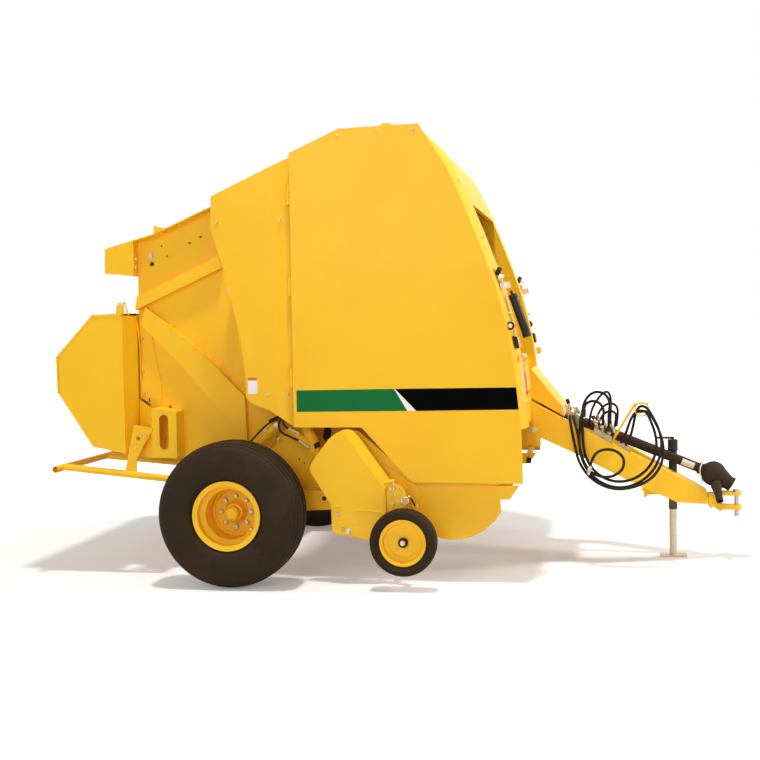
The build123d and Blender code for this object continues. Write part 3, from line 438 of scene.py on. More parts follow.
# %% Make a bolt
def bolt(shape, place, direction, across, height, washer=1.25):
    """A hexagon head with a washer, standing on place and pointing along direction."""
    turn = Vector((0, 0, 1)).rotation_difference(Vector(direction)).to_matrix().to_4x4()
    stand = Matrix.Translation(place) @ turn
    thin = across * 0.14
    radius = across * 0.577
    for edges, wide, deep, lift in ((20, radius * washer, thin, thin / 2), (6, radius, height, thin + height / 2)):
        made = bmesh.ops.create_cone(shape, cap_ends=True, segments=edges, radius1=wide, radius2=wide, depth=deep,
                                     matrix=stand @ Matrix.Translation((0, 0, lift)))
    foot = stand @ Vector((0, 0, thin))
    around = {edge for corner in made["verts"] for edge in corner.link_edges}
    rim = [edge for edge in around if all((corner.co - foot).length > height * 0.7 for corner in edge.verts)]
    bmesh.ops.bevel(shape, geom=rim, affect="EDGES", offset=across * 0.06, segments=1, profile=0.5, material=-1)


# %% [markdown]
# ## Bars, plates and sheets
# Three more helpers shape almost everything that is bolted on. A plate is one face pushed out to its
# thickness, a bar is a cone of equal ends with chamfered rims, and a sheet is bridged through a row
# of chains, which gives a curved skin from a few lines of points.

# %% Helpers for bars, plates and sheets
def plate(shape, outline, near, far):
    """A flat plate: an outline of (x, z) corners at y = near, pushed out to y = far."""
    corners = [shape.verts.new((x, near, z)) for x, z in outline]
    raised = bmesh.ops.extrude_face_region(shape, geom=[shape.faces.new(corners)])
    moved = [part for part in raised["geom"] if isinstance(part, bmesh.types.BMVert)]
    bmesh.ops.translate(shape, verts=moved, vec=(0, far - near, 0))


def bar(shape, start, end, radius, edges=24, chamfer=0.0):
    """A round bar between two points, or a hexagon with six edges."""
    start, end = Vector(start), Vector(end)
    run = end - start
    stand = Matrix.Translation((start + end) / 2) @ run.to_track_quat("Z", "Y").to_matrix().to_4x4()
    made = bmesh.ops.create_cone(shape, cap_ends=True, segments=edges, radius1=radius, radius2=radius,
                                 depth=run.length, matrix=stand)
    if chamfer:
        way = run.normalized()
        around = {edge for corner in made["verts"] for edge in corner.link_edges}
        rims = [e for e in around if abs((e.verts[0].co - e.verts[1].co).normalized().dot(way)) < 0.1]
        bmesh.ops.bevel(shape, geom=rims, affect="EDGES", offset=chamfer, segments=2, profile=0.5, material=-1)


def sheet_through(chains, thickness):
    """Sheet steel bridged through chains of points, then given its thickness."""
    shape = bmesh.new()
    rows = []
    for chain in chains:
        dots = [shape.verts.new(point) for point in chain]
        rows.append([shape.edges.new(pair) for pair in zip(dots, dots[1:])])
    for low, high in zip(rows, rows[1:]):
        bmesh.ops.bridge_loops(shape, edges=low + high)
    bmesh.ops.recalc_face_normals(shape, faces=shape.faces)
    bmesh.ops.solidify(shape, geom=shape.faces[:], thickness=thickness)
    return shape


# %% [markdown]
# ## Pieces from a list of parts
# Most fittings are a handful of bars, plates and bolts in one finish. Each part is written as a tuple: the helper
# first and then what it takes. A pipe is different. It is a spline with a round bevel, like the hoses.

# %% Helpers that make a whole piece
def fitted(name, parts, material, body, sharp=35):
    shape = bmesh.new()
    for helper, *values in parts:
        helper(shape, *values)
    return finished(name, shape, material, body, sharp)


def pipe(name, points, radius, material, body, closed=False):
    """A thin pipe or bent wire on a smooth line."""
    piece = smooth_line(name, points, radius, material, 3, 6, closed)
    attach(piece, body)


def at(y, line):
    """A line of (x, z) points at one y."""
    return [(x, y, z) for x, z in line]


def hoop(x, y, z, radius):
    """Eight points round a ring in the XZ plane."""
    return [(x + radius * cos(radians(turn)), y, z + radius * sin(radians(turn))) for turn in range(0, 360, 45)]


# %% [markdown]
# ## Wheel nuts
# Eight nuts hold each road wheel to its hub, on a circle 203 mm wide.

# %% Set the wheel nuts
axle_x, _, axle_z = middle("tyre_right")
nut_circle = 0.1016
disc_face = 1.1252
for side, sign in mirror:
    seats = hoop(axle_x, sign * disc_face, axle_z, nut_circle)
    nuts = [(bolt, seat, (0, sign, 0), 0.027, 0.018, 1.15) for seat in seats]
    fitted(f"wheel_nuts_{side}", nuts, fastener, f"wheel_{side}")

# %% [markdown]
# ## The hood's raised frame
# Between each side cover and the high opening in the hood runs a raised steel frame. It starts flush inside the
# cover's edge and swells forward towards the opening, so from the side it shows as a narrow bright
# band. Its section is given as steps along the outline's normal, and the sheet is bridged through them.

# %% Steps beside the hood's outline
front_line = [
    (0.238, 2.976), (0.348, 2.802), (0.411, 2.704), (0.486, 2.549), (0.535, 2.427), (0.588, 2.298), (0.665, 2.093),
    (0.727, 1.920), (0.781, 1.709), (0.823, 1.505), (0.852, 1.275), (0.874, 1.007),
]


def outward(line, k):
    """The unit normal of a line of (x, z) points at point k, pointing to the front."""
    before, after = line[max(k - 1, 0)], line[min(k + 1, len(line) - 1)]
    return Vector((before[1] - after[1], after[0] - before[0])).normalized()


def beside(line, rise, y):
    """The line moved outwards by rise, at a given y. Its top end is tucked under the roof sheet instead."""
    chain = [(line[0][0] - 0.004, y, line[0][1] - 0.012)]
    for k, (x, z) in list(enumerate(line))[1:]:
        step = outward(line, k) * rise
        chain.append((x + step.x, y, z + step.y))
    return chain


# %% Press the hood frame and its brow
press_sheet = 0.0025
opening_half = 0.789
frame_section = [
    (-0.008, 1.0195), (0.013, 0.990), (0.029, 0.925), (0.036, 0.850), (0.037, 0.790), (0.030, 0.783), (-0.030, 0.782),
]
for side, sign in mirror:
    chains = [beside(front_line, rise, sign * y) for rise, y in frame_section]
    finished(f"hood_frame_{side}", sheet_through(chains, press_sheet), yellow, "chassis", 28)
brow_line = front_line[:4] + [(0.520, 2.462)]
across = [beside(brow_line, 0.0365, y) for y in (-opening_half, -0.4, 0.0, 0.4, opening_half)]
brow = [list(row) for row in zip(*across)]
lip = [(x - 0.035, y, z + 0.004) for x, y, z in brow[-1]]
finished("hood_brow", sheet_through(brow + [lip], press_sheet), yellow, "chassis", 28)

# %% Close the floor of the opening
apron_line = [(0.836, 1.392), (0.800, 1.352), (0.600, 1.262), (0.420, 1.200), (0.404, 1.180)]
apron = sheet_through([at(y, apron_line) for y in (-0.764, 0.0, 0.764)], 0.003)
finished("front_apron", apron, yellow, "chassis")

# %% [markdown]
# ## Driveline dressing
# The shaft turns inside a plastic tube that does not turn. The tube ends in a ribbed collar at the bell, a
# safety chain hangs from the collar, and a warning plate wraps round the tube, which is left blank here.

# %% Wrap the driveline tube
shaft_start = Vector((1.190, 0.0, 0.996))
shaft_way = (Vector((2.070, 0.0, 0.637)) - shaft_start).normalized()
shaft_up = shaft_way.cross(Vector((0.0, 1.0, 0.0)))
tube_steps = (
    (0.170, 0.620, 0.0360), (0.590, 0.926, 0.0330), (0.926, 0.944, 0.0430), (0.944, 0.952, 0.0380),
    (0.952, 0.964, 0.0450),
)


def round_shaft(distance, radius=0.0, angle=0.0):
    """A point on the tube: the angle is 0 on the machine's right and 90 on top."""
    spoke = Vector((0.0, -cos(radians(angle)), 0.0)) + shaft_up * sin(radians(angle))
    return shaft_start + shaft_way * distance + spoke * radius


steps = [(bar, round_shaft(near), round_shaft(far), radius, 48, 0.002) for near, far, radius in tube_steps]
fitted("shaft_tube", steps, guard_plastic, "driveline")
for name, facing in (("shaft_label_right", 0), ("shaft_label_left", 180)):
    arcs = [[round_shaft(distance, 0.0342, facing + turn) for distance in (0.800, 0.845, 0.890)]
            for turn in range(-40, 50, 10)]
    finished(name, sheet_through(arcs, 0.0010), blank_label, "driveline")
low_links = [(2.062, -0.050, 0.580), (2.070, -0.046, 0.545)]
hanging = [round_shaft(0.935, 0.044, 60), round_shaft(0.925, 0.052, 0)] + low_links
pipe("shaft_chain", hanging, 0.005, zinc, "driveline")

# %% [markdown]
# ## Latches and the spring on the hood frame
# Each side cover is held at its front edge by rubber latches, a screw knob and a draw pin. They are written
# once and mirrored. The black spring cylinder of the net door stands beside them, on the right only.

# %% Fit the latches
bracket = [(0.866, 1.490), (0.900, 1.486), (0.908, 1.466), (0.905, 1.442), (0.872, 1.430)]
frame_screws = (
    (0.382, 2.785, 0.930), (0.482, 2.622, 0.950), (0.625, 2.245, 0.975), (0.647, 2.185, 0.975), (0.636, 2.250, 0.930),
    (0.804, 1.752, 0.970), (0.813, 1.750, 0.950), (0.890, 1.471, 0.940), (0.874, 1.455, 0.970), (0.893, 1.240, 0.960),
)
for side, sign in mirror:
    latch = sign * 0.955
    fitted(f"front_latches_{side}", [
        (bar, (0.722, latch, 2.030), (0.748, latch, 2.018), 0.027, 20, 0.003),
        (bar, (0.810, latch, 1.672), (0.810, sign * 1.000, 1.672), 0.027, 9, 0.003),
        (plate, [(0.826, 1.606), (0.852, 1.600), (0.866, 1.532), (0.856, 1.524), (0.840, 1.530)],
         sign * 0.985, sign * 0.945),
    ], guard_plastic, "chassis")
    screws = [(bolt, (x, sign * y, z), (0.9, 0, 0.35), 0.012, 0.008) for x, z, y in frame_screws]
    fitted(f"front_bolts_{side}", [
        (bar, (0.734, sign * 0.958, 1.984), (0.764, sign * 0.958, 1.974), 0.028, 20, 0.003),
        (plate, [(0.742, 1.948), (0.806, 1.956), (0.812, 1.918), (0.754, 1.906)], sign * 0.975, sign * 0.945),
        (bar, (0.810, sign * 0.999, 1.672), (0.810, sign * 1.006, 1.672), 0.015, 12, 0.002),
        (plate, [(0.852, 1.600), (0.860, 1.597), (0.873, 1.536), (0.866, 1.532)], sign * 0.980, sign * 0.950),
        *screws,
        (bolt, (0.884, sign * 0.930, 1.474), (0.9, sign * 0.3, 0.2), 0.026, 0.018),
    ], zinc, "chassis")
    tab = (plate, bracket, sign * 0.890, sign * 0.884)
    fitted(f"front_bracket_{side}", [tab], yellow, "chassis")

# %% Fit the door spring
spring = fitted("door_spring", [
    (bar, (0.8190, -0.9, 1.8750), (0.9130, -0.9, 1.5985), 0.027, 32, 0.003),
    (bar, (0.8190, -0.9, 1.8750), (0.8290, -0.9, 1.8456), 0.0285, 32, 0.002),
    (bar, (0.9030, -0.9, 1.6279), (0.9130, -0.9, 1.5985), 0.0285, 32, 0.002),
    (bar, (0.8110, -0.9, 1.8985), (0.8200, -0.9, 1.8720), 0.009, 16, 0.001),
], black_enamel, "chassis")
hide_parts("tension_cylinder")

# %% [markdown]
# ## Behind the wheel
# Under the side cover the lift rams start from the frame, with their pipes, steel fittings and pins. The pipes
# are fixed at both ends and bent once in the workshop, so each is a short smooth line and not a loose cord.

# %% Run the ram pipes
ram_pipes = {
    "pipe_rear": (0.955, 0.0065, [(-0.690, 1.112), (-0.735, 1.085), (-0.775, 1.066), (-0.826, 1.040), (-0.893, 0.975),
                                  (-0.963, 0.900), (-1.010, 0.840)]),
    # This thick hose bundle is partly real and also fills the dark gap above the wheel with painted shade.
    "bundle_and_shade": (0.945, 0.0130, [(-0.680, 1.128), (-0.720, 1.100), (-0.770, 1.074), (-0.812, 1.056)]),
    "pipe_lower": (0.975, 0.0068, [(-0.700, 1.125), (-0.734, 1.068), (-0.742, 1.030), (-0.728, 0.984),
                                   (-0.667, 0.958), (-0.606, 0.932)]),
    "pipe_upper": (0.975, 0.0068, [(-0.695, 1.115), (-0.713, 1.062), (-0.701, 1.026), (-0.674, 1.010)]),
}
for side, sign in mirror:
    for name, (y, radius, line) in ram_pipes.items():
        pipe(f"ram_{name}_{side}", at(sign * y, line), radius, hose_rubber, "chassis")

# %% Screw their fittings on
for side, sign in mirror:
    fittings = []
    for start, end in (((-0.606, 0.932), (-0.537, 0.882)), ((-0.674, 1.010), (-0.601, 0.979))):
        a, b = (Vector(point) for point in at(sign * 0.975, (start, end)))
        fittings += [
            (bar, a, b, 0.0064, 16, 0.001),
            (bar, a.lerp(b, 0.30), a.lerp(b, 0.48), 0.0086, 6, 0.001),
            (bar, a.lerp(b, 0.78), b, 0.0084, 6, 0.001),
        ]
    fitted(f"ram_fittings_{side}", fittings + [
        (bar, (-0.770, sign * 0.860, 1.029), (-0.770, sign * 0.940, 1.029), 0.017, 24, 0.004),
        (bolt, (-0.849, sign * 0.925, 0.995), (0, sign, 0), 0.016, 0.014),
        (bolt, (-0.789, sign * 0.800, 0.925), (0, sign, 0), 0.018, 0.016),
    ], zinc, "chassis")

# %% Add the steering rams, the rubber flaps and the painted shade in the boss bores
flap_pins = ((-0.649, 0.785), (-0.614, 0.759))
for side, sign in mirror:
    ram = sign * 0.905
    fitted(f"steering_ram_{side}", [
        (bar, (-0.775, sign * 0.900, 1.040), (-0.955, sign * 0.900, 0.850), 0.024, 28, 0.004),
        (bar, (-0.760, sign * 0.900, 1.056), (-0.800, sign * 0.900, 1.014), 0.030, 28, 0.005),
        (bar, (-0.698, ram, 1.006), (-0.530, ram, 0.880), 0.030, 28, 0.005),
        (plate, [(-0.520, 0.930), (-0.470, 0.905), (-0.478, 0.850), (-0.540, 0.850)], sign * 0.955, ram),
    ], yellow, "chassis")
    fitted(f"rubber_flap_and_bore_shade_{side}", [
        *[(bar, (x, sign * 0.790, z), (x, sign * 0.7955, z), 0.006, 14) for x, z in flap_pins],
        (plate, [(-0.468, 1.012), (-0.425, 1.010), (-0.428, 0.907), (-0.462, 0.893), (-0.482, 0.940)],
         sign * 0.796, sign * 0.788),
        (plate, [(-0.510, 0.905), (-0.470, 0.925), (-0.462, 0.893), (-0.498, 0.872)], sign * 0.962, sign * 0.950),
        # A dark disc set deep in the bore of the rail boss is painted shade of the hole.
        (bar, (-0.458, sign * 0.880, 0.532), (-0.458, sign * 0.888, 0.532), 0.0155, 24),
    ], guard_plastic, "chassis")

# %% Turn the bosses of the lower rail
boss_section = [(0.0155, 0.0), (0.030, 0.0), (0.030, 0.012), (0.027, 0.015), (0.0185, 0.015), (0.0155, 0.012),
                (0.0155, 0.0)]
for side, sign in mirror:
    section = [(radius, sign * y) for radius, y in boss_section]
    boss = lathe(section, (-0.458, sign * 0.880, 0.532), 32)
    finished(f"rail_boss_{side}", boss, yellow, "chassis")

# %% [markdown]
# ## The pickup's side plates
# A doubler plate stiffens the lower corner of each pickup shield. The stop pin of the gauge arm hangs on a ball
# chain, which is a row of small beads along a sagging line.

# %% Weld the doublers on
shield_face = 1.1202
doubler_face = 1.1245
doubler = [
    (-0.356, 0.517), (-0.294, 0.518), (-0.287, 0.478), (-0.212, 0.389), (-0.172, 0.374), (-0.085, 0.388),
    (-0.099, 0.309), (-0.224, 0.322), (-0.317, 0.336), (-0.352, 0.360),
]
lip = [(-0.352, 0.520), (-0.294, 0.521), (-0.294, 0.513), (-0.352, 0.512)]
arm_plate = [(0.003, 0.664), (0.038, 0.557), (0.030, 0.473), (-0.014, 0.426), (-0.106, 0.425), (-0.030, 0.640)]
for side, sign in mirror:
    fitted(f"shield_doubler_{side}", [
        (plate, doubler, sign * shield_face, sign * doubler_face),
        (plate, lip, sign * shield_face, sign * 1.132),
        (plate, arm_plate, sign * 1.104, sign * 1.100),
        (bar, (-0.004, sign * 1.133, 0.672), (0.064, sign * 1.133, 0.686), 0.014, 20, 0.003),
    ], yellow, "pickup")
    seam = at(sign * 1.1205, [(-0.195, 0.495), (-0.100, 0.487), (-0.013, 0.478)])
    pipe(f"shield_seam_{side}", seam, 0.0028, yellow, "pickup")

# %% Bolt the pickup's sides
for side, sign in mirror:
    arm_face = sign * 1.142
    out = (0, sign, 0)
    pivot = (bolt, (-0.245, sign * doubler_face, 0.352), out, 0.026, 0.016)
    fitted(f"shield_pivot_{side}", [pivot], zinc, "pickup")
    fitted(f"pickup_bolts_{side}", [
        (bolt, (-0.315, sign * doubler_face, 0.463), out, 0.018, 0.010),
        (bolt, (-0.282, sign * doubler_face, 0.366), out, 0.018, 0.010),
        (bolt, (0.041, arm_face, 0.632), out, 0.018, 0.012, 1.3),
        (bolt, (0.053, arm_face, 0.535), out, 0.015, 0.012),
        (bolt, (0.135, arm_face, 0.537), out, 0.020, 0.020),
        (bolt, (0.206, arm_face, 0.528), (0.5, sign, 0), 0.015, 0.014),
        (bar, (0.154, sign * 1.150, 0.588), (0.172, sign * 1.150, 0.583), 0.008, 12, 0.001),
    ], fastener, "pickup")

# %% Hang the stop pin's chain
chain_line = [
    (0.056, 0.689), (0.061, 0.655), (0.063, 0.616), (0.072, 0.577), (0.093, 0.542), (0.108, 0.553), (0.124, 0.576),
    (0.154, 0.581),
]
bead_radius = 0.0037
bead_pitch = 0.0085
for side, sign in mirror:
    pipe(f"pin_ring_{side}", hoop(0.136, sign * 1.156, 0.561, 0.024), 0.0028, chrome, "pickup", True)
    beads = bmesh.new()
    for start, end in zip(chain_line, chain_line[1:]):
        a, b = (Vector(point) for point in at(sign * 1.150, (start, end)))
        count = max(2, round((b - a).length / bead_pitch))
        for k in range(count):
            spot = Matrix.Translation(a.lerp(b, k / count))
            bmesh.ops.create_icosphere(beads, subdivisions=2, radius=bead_radius, matrix=spot)
    finished(f"pin_chain_{side}", beads, chrome, "pickup", 60)
    strap = (bar, (0.168, sign * 1.146, 0.580), (0.200, sign * 1.146, 0.528), 0.006, 12, 0.001)
    fitted(f"pin_strap_{side}", [strap], guard_plastic, "pickup")

# %% Cap the gauge wheels
for side, sign in mirror:
    x, _, z = middle(f"gauge_wheel_{side}")
    cap = (bar, (x, sign * 1.262, z), (x, sign * 1.3005, z), 0.031, 28, 0.004)
    nut = (bolt, (x, sign * 1.300, z), (0, sign, 0), 0.027, 0.018, 1.1)
    fitted(f"gauge_hub_{side}", [cap], guard_plastic, f"gauge_{side}")
    fitted(f"gauge_nut_{side}", [nut], zinc, f"gauge_{side}")

# %% [markdown]
# ## Tailgate trim
# The tailgate's walls carry a folded rear flange, the washers of the roller shafts, a keyhole for the belt
# tracker, and a row of weld studs along the lower rib. The keyhole and the small holes are shown as thin
# dark plates of painted shade. The wrap box has a lug and two wire handles.

# %% Fold the flanges and the rim of the lid
tail_wall = 0.798
side_flange = [
    (-1.776, 1.785), (-1.757, 1.560), (-1.756, 1.400), (-1.758, 1.205), (-1.700, 1.165), (-1.640, 0.960),
    (-1.620, 0.830), (-1.600, 0.900), (-1.620, 1.300), (-1.700, 1.750),
]
rear_flange = [(-1.778, 1.790), (-1.758, 1.560), (-1.757, 1.205), (-1.762, 1.205), (-1.763, 1.560), (-1.783, 1.790)]
lid_rim = [
    (-1.822, 1.798), (-2.035, 1.791), (-2.305, 1.507), (-2.302, 1.252), (-2.290, 1.2525), (-2.2925, 1.500),
    (-2.030, 1.777), (-1.822, 1.784),
]
for side, sign in mirror:
    fitted(f"tail_flange_{side}", [
        (plate, side_flange, sign * 0.7982, sign * 0.804),
        (plate, [(-1.626, 2.394), (-1.626, 2.330), (-1.538, 2.358), (-1.538, 2.371)], sign * 0.860, sign * 0.854),
        (plate, rear_flange, sign * tail_wall, sign * 0.830),
    ], yellow, "tailgate")
    fitted(f"lid_rim_{side}", [(plate, lid_rim, sign * 0.9902, sign * 0.993)], yellow, "wrap_lid")

# %% Stud the tailgate
corner_bolts = ((-1.751, 2.170), (-1.753, 2.112))
flange_bolts = ((-1.747, 1.622), (-1.747, 1.396), (-1.744, 1.242))
link_bolts = ((-1.686, 0.969), (-1.654, 0.969), (-1.725, 0.882))
rib_studs = ((-1.514, 1.715), (-1.351, 1.570), (-1.179, 1.419), (-1.012, 1.270))
for side, sign in mirror:
    out = (0, sign, 0)
    fitted(f"tail_bolts_{side}", [
        (bolt, (-1.668, sign * tail_wall, 2.191), out, 0.026, 0.016, 1.5),
        *[(bolt, (x, sign * 0.8805, z), out, 0.012, 0.008) for x, z in corner_bolts],
        *[(bolt, (x, sign * 0.8040, z), out, 0.012, 0.008) for x, z in flange_bolts],
        *[(bolt, (x, sign * 1.0302, z), out, 0.014, 0.008) for x, z in link_bolts],
    ], fastener, "tailgate")
    studs = [(bolt, (x, sign * 0.850, z), out, 0.014, 0.007, 1.2) for x, z in rib_studs]
    fitted(f"rib_studs_{side}", studs, yellow, "tailgate")

# %% Fill the tailgate's holes with dark plates of painted shade
def slot_shade_plate(x, z, half_wide, half_high, near, far):
    """An upright or lying slot, as a thin dark plate of painted shade."""
    corners = [(x + i * half_wide, z + j * half_high) for i, j in ((-1, -1), (1, -1), (1, 1), (-1, 1))]
    return (plate, corners, near, far)


round_hole_shades = ((-1.556, 2.187, 0.006), (-1.595, 2.259, 0.006), (-1.392, 2.274, 0.008), (-1.313, 2.312, 0.008),
               (-1.667, 2.138, 0.013))
for side, sign in mirror:
    behind, proud = sign * 0.797, sign * 0.7995
    # The holes are open in the wall. The dark plates set in them are painted shade.
    fitted(f"tail_hole_shade_{side}", [
        *[(bar, (x, behind, z), (x, proud, z), radius, 16) for x, z, radius in round_hole_shades],
        slot_shade_plate(-1.667, 2.130, 0.014, 0.006, behind, proud),
        slot_shade_plate(-1.708, 1.196, 0.005, 0.014, behind, sign * 0.8048),
        slot_shade_plate(-1.559, 1.143, 0.005, 0.014, behind, sign * 0.8048),
    ], guard_plastic, "tailgate")

# %% Add the lid's lug and the handles
fitted("lid_lug", [
    (plate, [(-1.872, 1.790), (-1.858, 1.862), (-1.850, 1.870), (-1.838, 1.872), (-1.830, 1.866), (-1.819, 1.790)],
     -0.976, -0.968),
], yellow, "wrap_lid")
fitted("lid_pin", [
    (bar, (-1.846, -0.980, 1.857), (-1.846, -0.964, 1.857), 0.008, 16, 0.001),
], zinc, "wrap_lid")
for k, (foot, y) in enumerate(((-1.776, -0.972), (-1.790, -0.955))):
    wire = [(-1.822, 1.786), (-1.822, 1.840), (-1.818, 1.874), (-1.806, 1.872), (foot - 0.012, 1.826), (foot, 1.786)]
    pipe(f"box_handle_{k}", at(y, wire), 0.0032, yellow, "tailgate")

# %% [markdown]
# ## Screws on the covers
# Small hexagon screws hold the covers to their hinges and posts. A pressed bump on the top edge makes room
# for a belt bearing.

# %% Set the cover screws
cover_face = 1.0500
rear_cover_face = 1.0300
rear_cover_bend = 1.0240
cover_screws = ((-0.290, 2.925), (-0.033, 2.942), (0.189, 2.946), (0.212, 2.946))
rear_screws = (
    (-1.122, rear_cover_face, 2.388), (-0.692, rear_cover_bend, 2.390), (-0.795, rear_cover_face, 1.243),
    (-0.663, rear_cover_bend, 1.242),
)
bump = [(-0.012, 2.960), (-0.004, 2.982), (0.012, 2.987), (0.048, 2.987), (0.064, 2.982), (0.072, 2.960)]
for side, sign in mirror:
    out = (0, sign, 0)
    screws = [(bolt, (x, sign * cover_face, z), out, 0.011, 0.005) for x, z in cover_screws]
    fitted(f"cover_screws_{side}", screws, fastener, f"cover_{side}")
    screws = [(bolt, (x, sign * y, z), out, 0.015, 0.007) for x, y, z in rear_screws]
    fitted(f"rear_cover_screws_{side}", screws, fastener, "chassis")
    fitted(f"cover_bump_{side}", [(plate, bump, sign * 1.049, sign * 1.024)], yellow, f"cover_{side}")

# %% [markdown]
# ## Valve stems
# Each road wheel has its tube valve low in the dish of the rim.

# %% Add the valve stems
for side, sign in mirror:
    fitted(f"valve_stem_{side}", [
        (bar, (-0.849, sign * 1.230, 0.402), (-0.852, sign * 1.290, 0.392), 0.0055, 14, 0.001),
        (bar, (-0.852, sign * 1.288, 0.3925), (-0.853, sign * 1.306, 0.3895), 0.0075, 14, 0.001),
    ], chrome, f"wheel_{side}")

# %% [markdown]
# ## Drawbar fittings
# The valve blocks on the drawbar bristle with steel fittings, tees and dust caps. A short list of stubs around
# each block, all with a hexagon and every third with a black cap, gives that crowd of small bright edges.

# %% Screw in the stubs
stubs = [
    ((1.150, -0.395, 1.080), (1.140, -0.395, 1.125), 0.011), ((1.172, -0.300, 1.075), (1.150, -0.300, 1.135), 0.013),
    ((1.205, -0.350, 1.055), (1.190, -0.350, 1.105), 0.010), ((1.225, -0.270, 1.050), (1.205, -0.270, 1.098), 0.014),
    ((1.335, -0.300, 0.985), (1.322, -0.300, 1.025), 0.013), ((1.360, -0.262, 0.985), (1.352, -0.262, 1.045), 0.011),
    ((1.405, -0.300, 0.955), (1.392, -0.300, 1.012), 0.013), ((1.445, -0.270, 0.945), (1.436, -0.270, 0.990), 0.012),
    ((1.465, -0.318, 0.920), (1.455, -0.318, 0.962), 0.013), ((1.380, -0.345, 0.965), (1.380, -0.375, 0.965), 0.013),
    ((1.425, -0.345, 0.945), (1.425, -0.372, 0.945), 0.011), ((1.340, -0.340, 0.985), (1.340, -0.366, 0.985), 0.011),
]
bright = [(bar, (1.259, -0.300, 1.084), (1.260, -0.300, 1.108), 0.016, 16, 0.002)]
dark = [(bar, (1.256, -0.300, 1.030), (1.259, -0.300, 1.085), 0.014, 16, 0.002)]
for k, (start, end, radius) in enumerate(stubs):
    a, b = Vector(start), Vector(end)
    bright.append((bar, a, b, radius * 0.72, 14, 0.001))
    bright.append((bar, a.lerp(b, 0.25), a.lerp(b, 0.60), radius, 6, 0.001))
    if k % 3 == 1:
        dark.append((bar, a.lerp(b, 0.80), a.lerp(b, 1.35), radius * 1.02, 14, 0.002))
fitted("valve_stubs", bright, fastener, "chassis")
fitted("valve_caps", dark, guard_plastic, "chassis")
pipe("cap_ring", hoop(1.260, -0.300, 1.122, 0.017), 0.003, chrome, "chassis", True)

# %% Loop the jumpers from block to block
jumpers = {
    "tall": (-0.270, [(1.290, 0.960), (1.299, 1.062), (1.354, 1.159), (1.409, 1.212), (1.440, 1.180),
                      (1.442, 1.100), (1.436, 0.990)]),
    "middle": (-0.250, [(1.318, 0.935), (1.339, 1.019), (1.381, 1.095), (1.429, 1.124), (1.480, 1.110),
                        (1.492, 1.050), (1.478, 0.960)]),
    "short": (-0.235, [(1.335, 0.920), (1.360, 1.004), (1.408, 1.064), (1.460, 1.066), (1.482, 1.030),
                       (1.462, 0.940)]),
}
for name, (y, line) in jumpers.items():
    pipe(f"jumper_pipe_{name}", at(y, line), 0.0085, hose_rubber, "chassis")

# %% Hang the bracket under the drawbar's root
fitted("tongue_bracket", [
    (plate, [(0.880, 0.985), (0.962, 0.985), (0.966, 0.838), (0.926, 0.838), (0.890, 0.760), (0.868, 0.740)],
     -0.410, -0.404),
    (bar, (0.897, -0.430, 0.817), (0.897, -0.400, 0.817), 0.024, 24, 0.003),
], yellow, "chassis")
fitted("tongue_knob", [
    (bar, (0.866, -0.440, 0.742), (0.900, -0.440, 0.742), 0.019, 16, 0.004),
], guard_plastic, "chassis")
fitted("tongue_bolts", [
    (bolt, (0.918, -0.410, 0.953), (0, -1, 0), 0.028, 0.020),
    (bolt, (0.897, -0.430, 0.817), (0, -1, 0), 0.018, 0.010),
], zinc, "chassis")

# %% [markdown]
# ## Decals
# The stripe on each side cover is a thin vinyl film in green, white and black. A film lies on the paint, so it is
# a real sheet 0.8 mm thick, cut to its outline, and not a mask in the paint: its edges stay sharp at
# any distance.

# %% Mix and cut the film
film_thick = 0.0008
plate_thick = 0.0010


def film(name, outline, face, thickness, material, body):
    """A flat sheet that lies on face, a value of y, and is raised away from the machine's middle."""
    raised = face + (thickness if face > 0 else -thickness)
    return fitted(name, [(plate, outline, face, raised)], material, body)


def vinyl(name, colour, darker, gloss=0.1):
    finish = Finish(name, ior=1.45, specular_ior_level=gloss)
    specks = finish.noise(30.0, 4.0).ramp(0.55, 0.85)
    finish.set(base_color=finish.mix(specks * 0.35 + finish.noise(2.5, 2.0) * 0.3, colour, darker))
    finish.set(roughness=0.36 + specks * 0.12)
    finish.set(normal=finish.bump(finish.noise(220.0, 1.0), 0.00005, 0.5))
    return finish.material


green_film = vinyl("green_vinyl", rgb(20, 110, 54), rgb(16, 99, 46))
black_film = vinyl("black_vinyl", rgb(9, 11, 10), rgb(13, 14, 13), 0.0)
white_film = vinyl("white_vinyl", rgb(246, 246, 243), rgb(232, 231, 226))
orange_film = vinyl("orange_vinyl", rgb(228, 120, 40), rgb(214, 108, 34))

# %% Lay the stripe
stripe = (
    ("green", green_film, [(-0.595, 1.128), (0.142, 1.132), (0.057, 1.275), (-0.595, 1.269)]),
    ("white", white_film, [(0.142, 1.132), (0.200, 1.131), (0.128, 1.207), (0.062, 1.275), (0.057, 1.275)]),
    ("black", black_film, [(0.200, 1.131), (0.861, 1.138), (0.847, 1.279), (0.062, 1.275), (0.128, 1.207)]),
)
for side, sign in mirror:
    for tint, material, outline in stripe:
        film(f"stripe_{tint}_{side}", outline, sign * cover_face, film_thick, material, f"cover_{side}")

# %% [markdown]
# ## The blank safety plate
# A small white plate with an orange band sits low on the right rear cover. It carries no words here.

# %% Stick the plate on
for tint, material, low, high in (("white", white_film, 1.247, 1.336), ("orange", orange_film, 1.336, 1.356)):
    outline = [(-0.931, low), (-0.868, low), (-0.868, high), (-0.931, high)]
    film(f"plate_{tint}", outline, -rear_cover_face, plate_thick, material, "chassis")
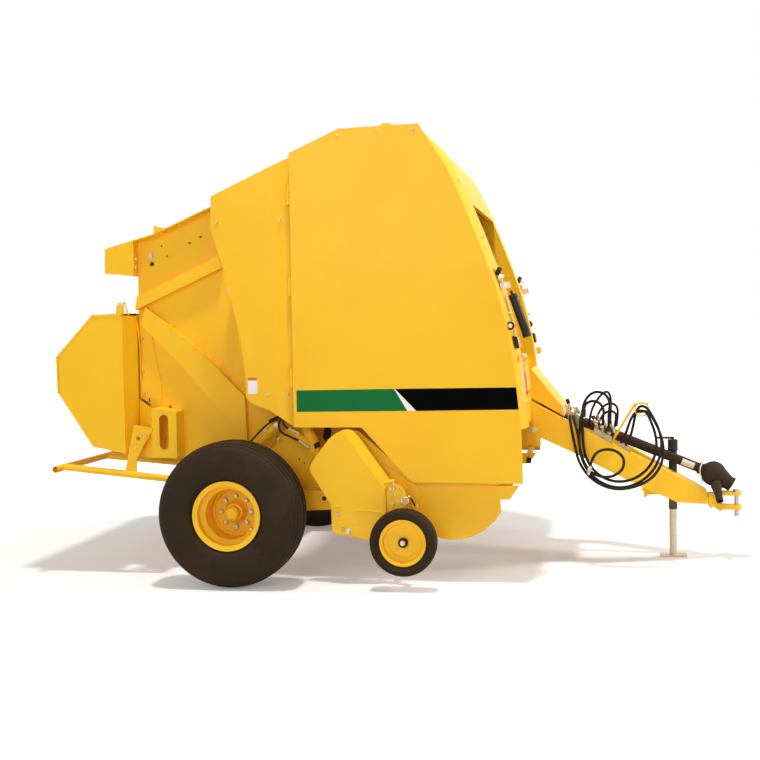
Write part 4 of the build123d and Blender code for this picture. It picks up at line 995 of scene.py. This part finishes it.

# %% [markdown]
# ## The floor
# The floor is a large pale disc that catches the soft shadow. To the camera, in reflections and through glass it
# shows its own light, a fifth of full within 3 m of the middle and full from 7 m out, so it stays white. The
# machine's diffuse light is only what the floor really reflects, but its glossy reflections show the floor's glow.

# %% Pour the floor
ground = bmesh.new()
bmesh.ops.create_circle(ground, cap_ends=True, segments=96, radius=60)
mesh = bpy.data.meshes.new("floor")
ground.to_mesh(mesh)
ground.free()
floor = bpy.data.objects.new("floor", mesh)
bpy.context.collection.objects.link(floor)
print("floor", round(mesh.vertices[0].co.length), "m in radius")

# %% Colour the floor
white_rays = ("Is Camera Ray", "Is Glossy Ray", "Is Transmission Ray")
near_glow, near_edge, far_edge = 0.2, 3.0, 7.0
concrete = Finish("pale_floor", roughness=0.9)
grain = concrete.noise(3.0, 5.0)
concrete.set(base_color=concrete.mix(grain, rgb(236, 234, 232), rgb(228, 226, 224)))
path = concrete.node("ShaderNodeLightPath")
direct, mirrored, through = (Wire(concrete, path.socket.node.outputs[ray]) for ray in white_rays)
seen = direct.math("MAXIMUM", direct, direct.math("MAXIMUM", mirrored, through))
away = concrete.node("ShaderNodeVectorMath", {"operation": "LENGTH"}, {0: concrete.place}, output="Value")
glow = seen * (near_glow + away.ramp(near_edge, far_edge) * (1 - near_glow))
concrete.set(emission_color=concrete.mix(glow, (0, 0, 0, 1), (1, 1, 1, 1)), emission_strength=1.0)
mesh.materials.append(concrete.material)
print(floor.name, "is", concrete.material.name)

# %% [markdown]
# ## The white room
# Outside the lamps' reach the world fills in softly. It is pure white to the camera and in reflections, and
# about a third as bright to every other ray, so the shade under the machine keeps its depth.

# %% Set the world
fill_level = 0.34
world = bpy.data.worlds.new("white_room")
scene.world = world
world.use_nodes = True
sky = world.node_tree
background = sky.nodes["Background"]
background.inputs["Color"].default_value = (1, 1, 1, 1)
path = sky.nodes.new("ShaderNodeLightPath")
level = None
for ray in white_rays:
    brighter = sky.nodes.new("ShaderNodeMath")
    brighter.operation = "MAXIMUM"
    sky.links.new(path.outputs[ray], brighter.inputs[0])
    brighter.inputs[1].default_value = fill_level
    if level:
        sky.links.new(level, brighter.inputs[1])
    level = brighter.outputs[0]
sky.links.new(level, background.inputs["Strength"])
print("world", world.name, "fills in at", fill_level)
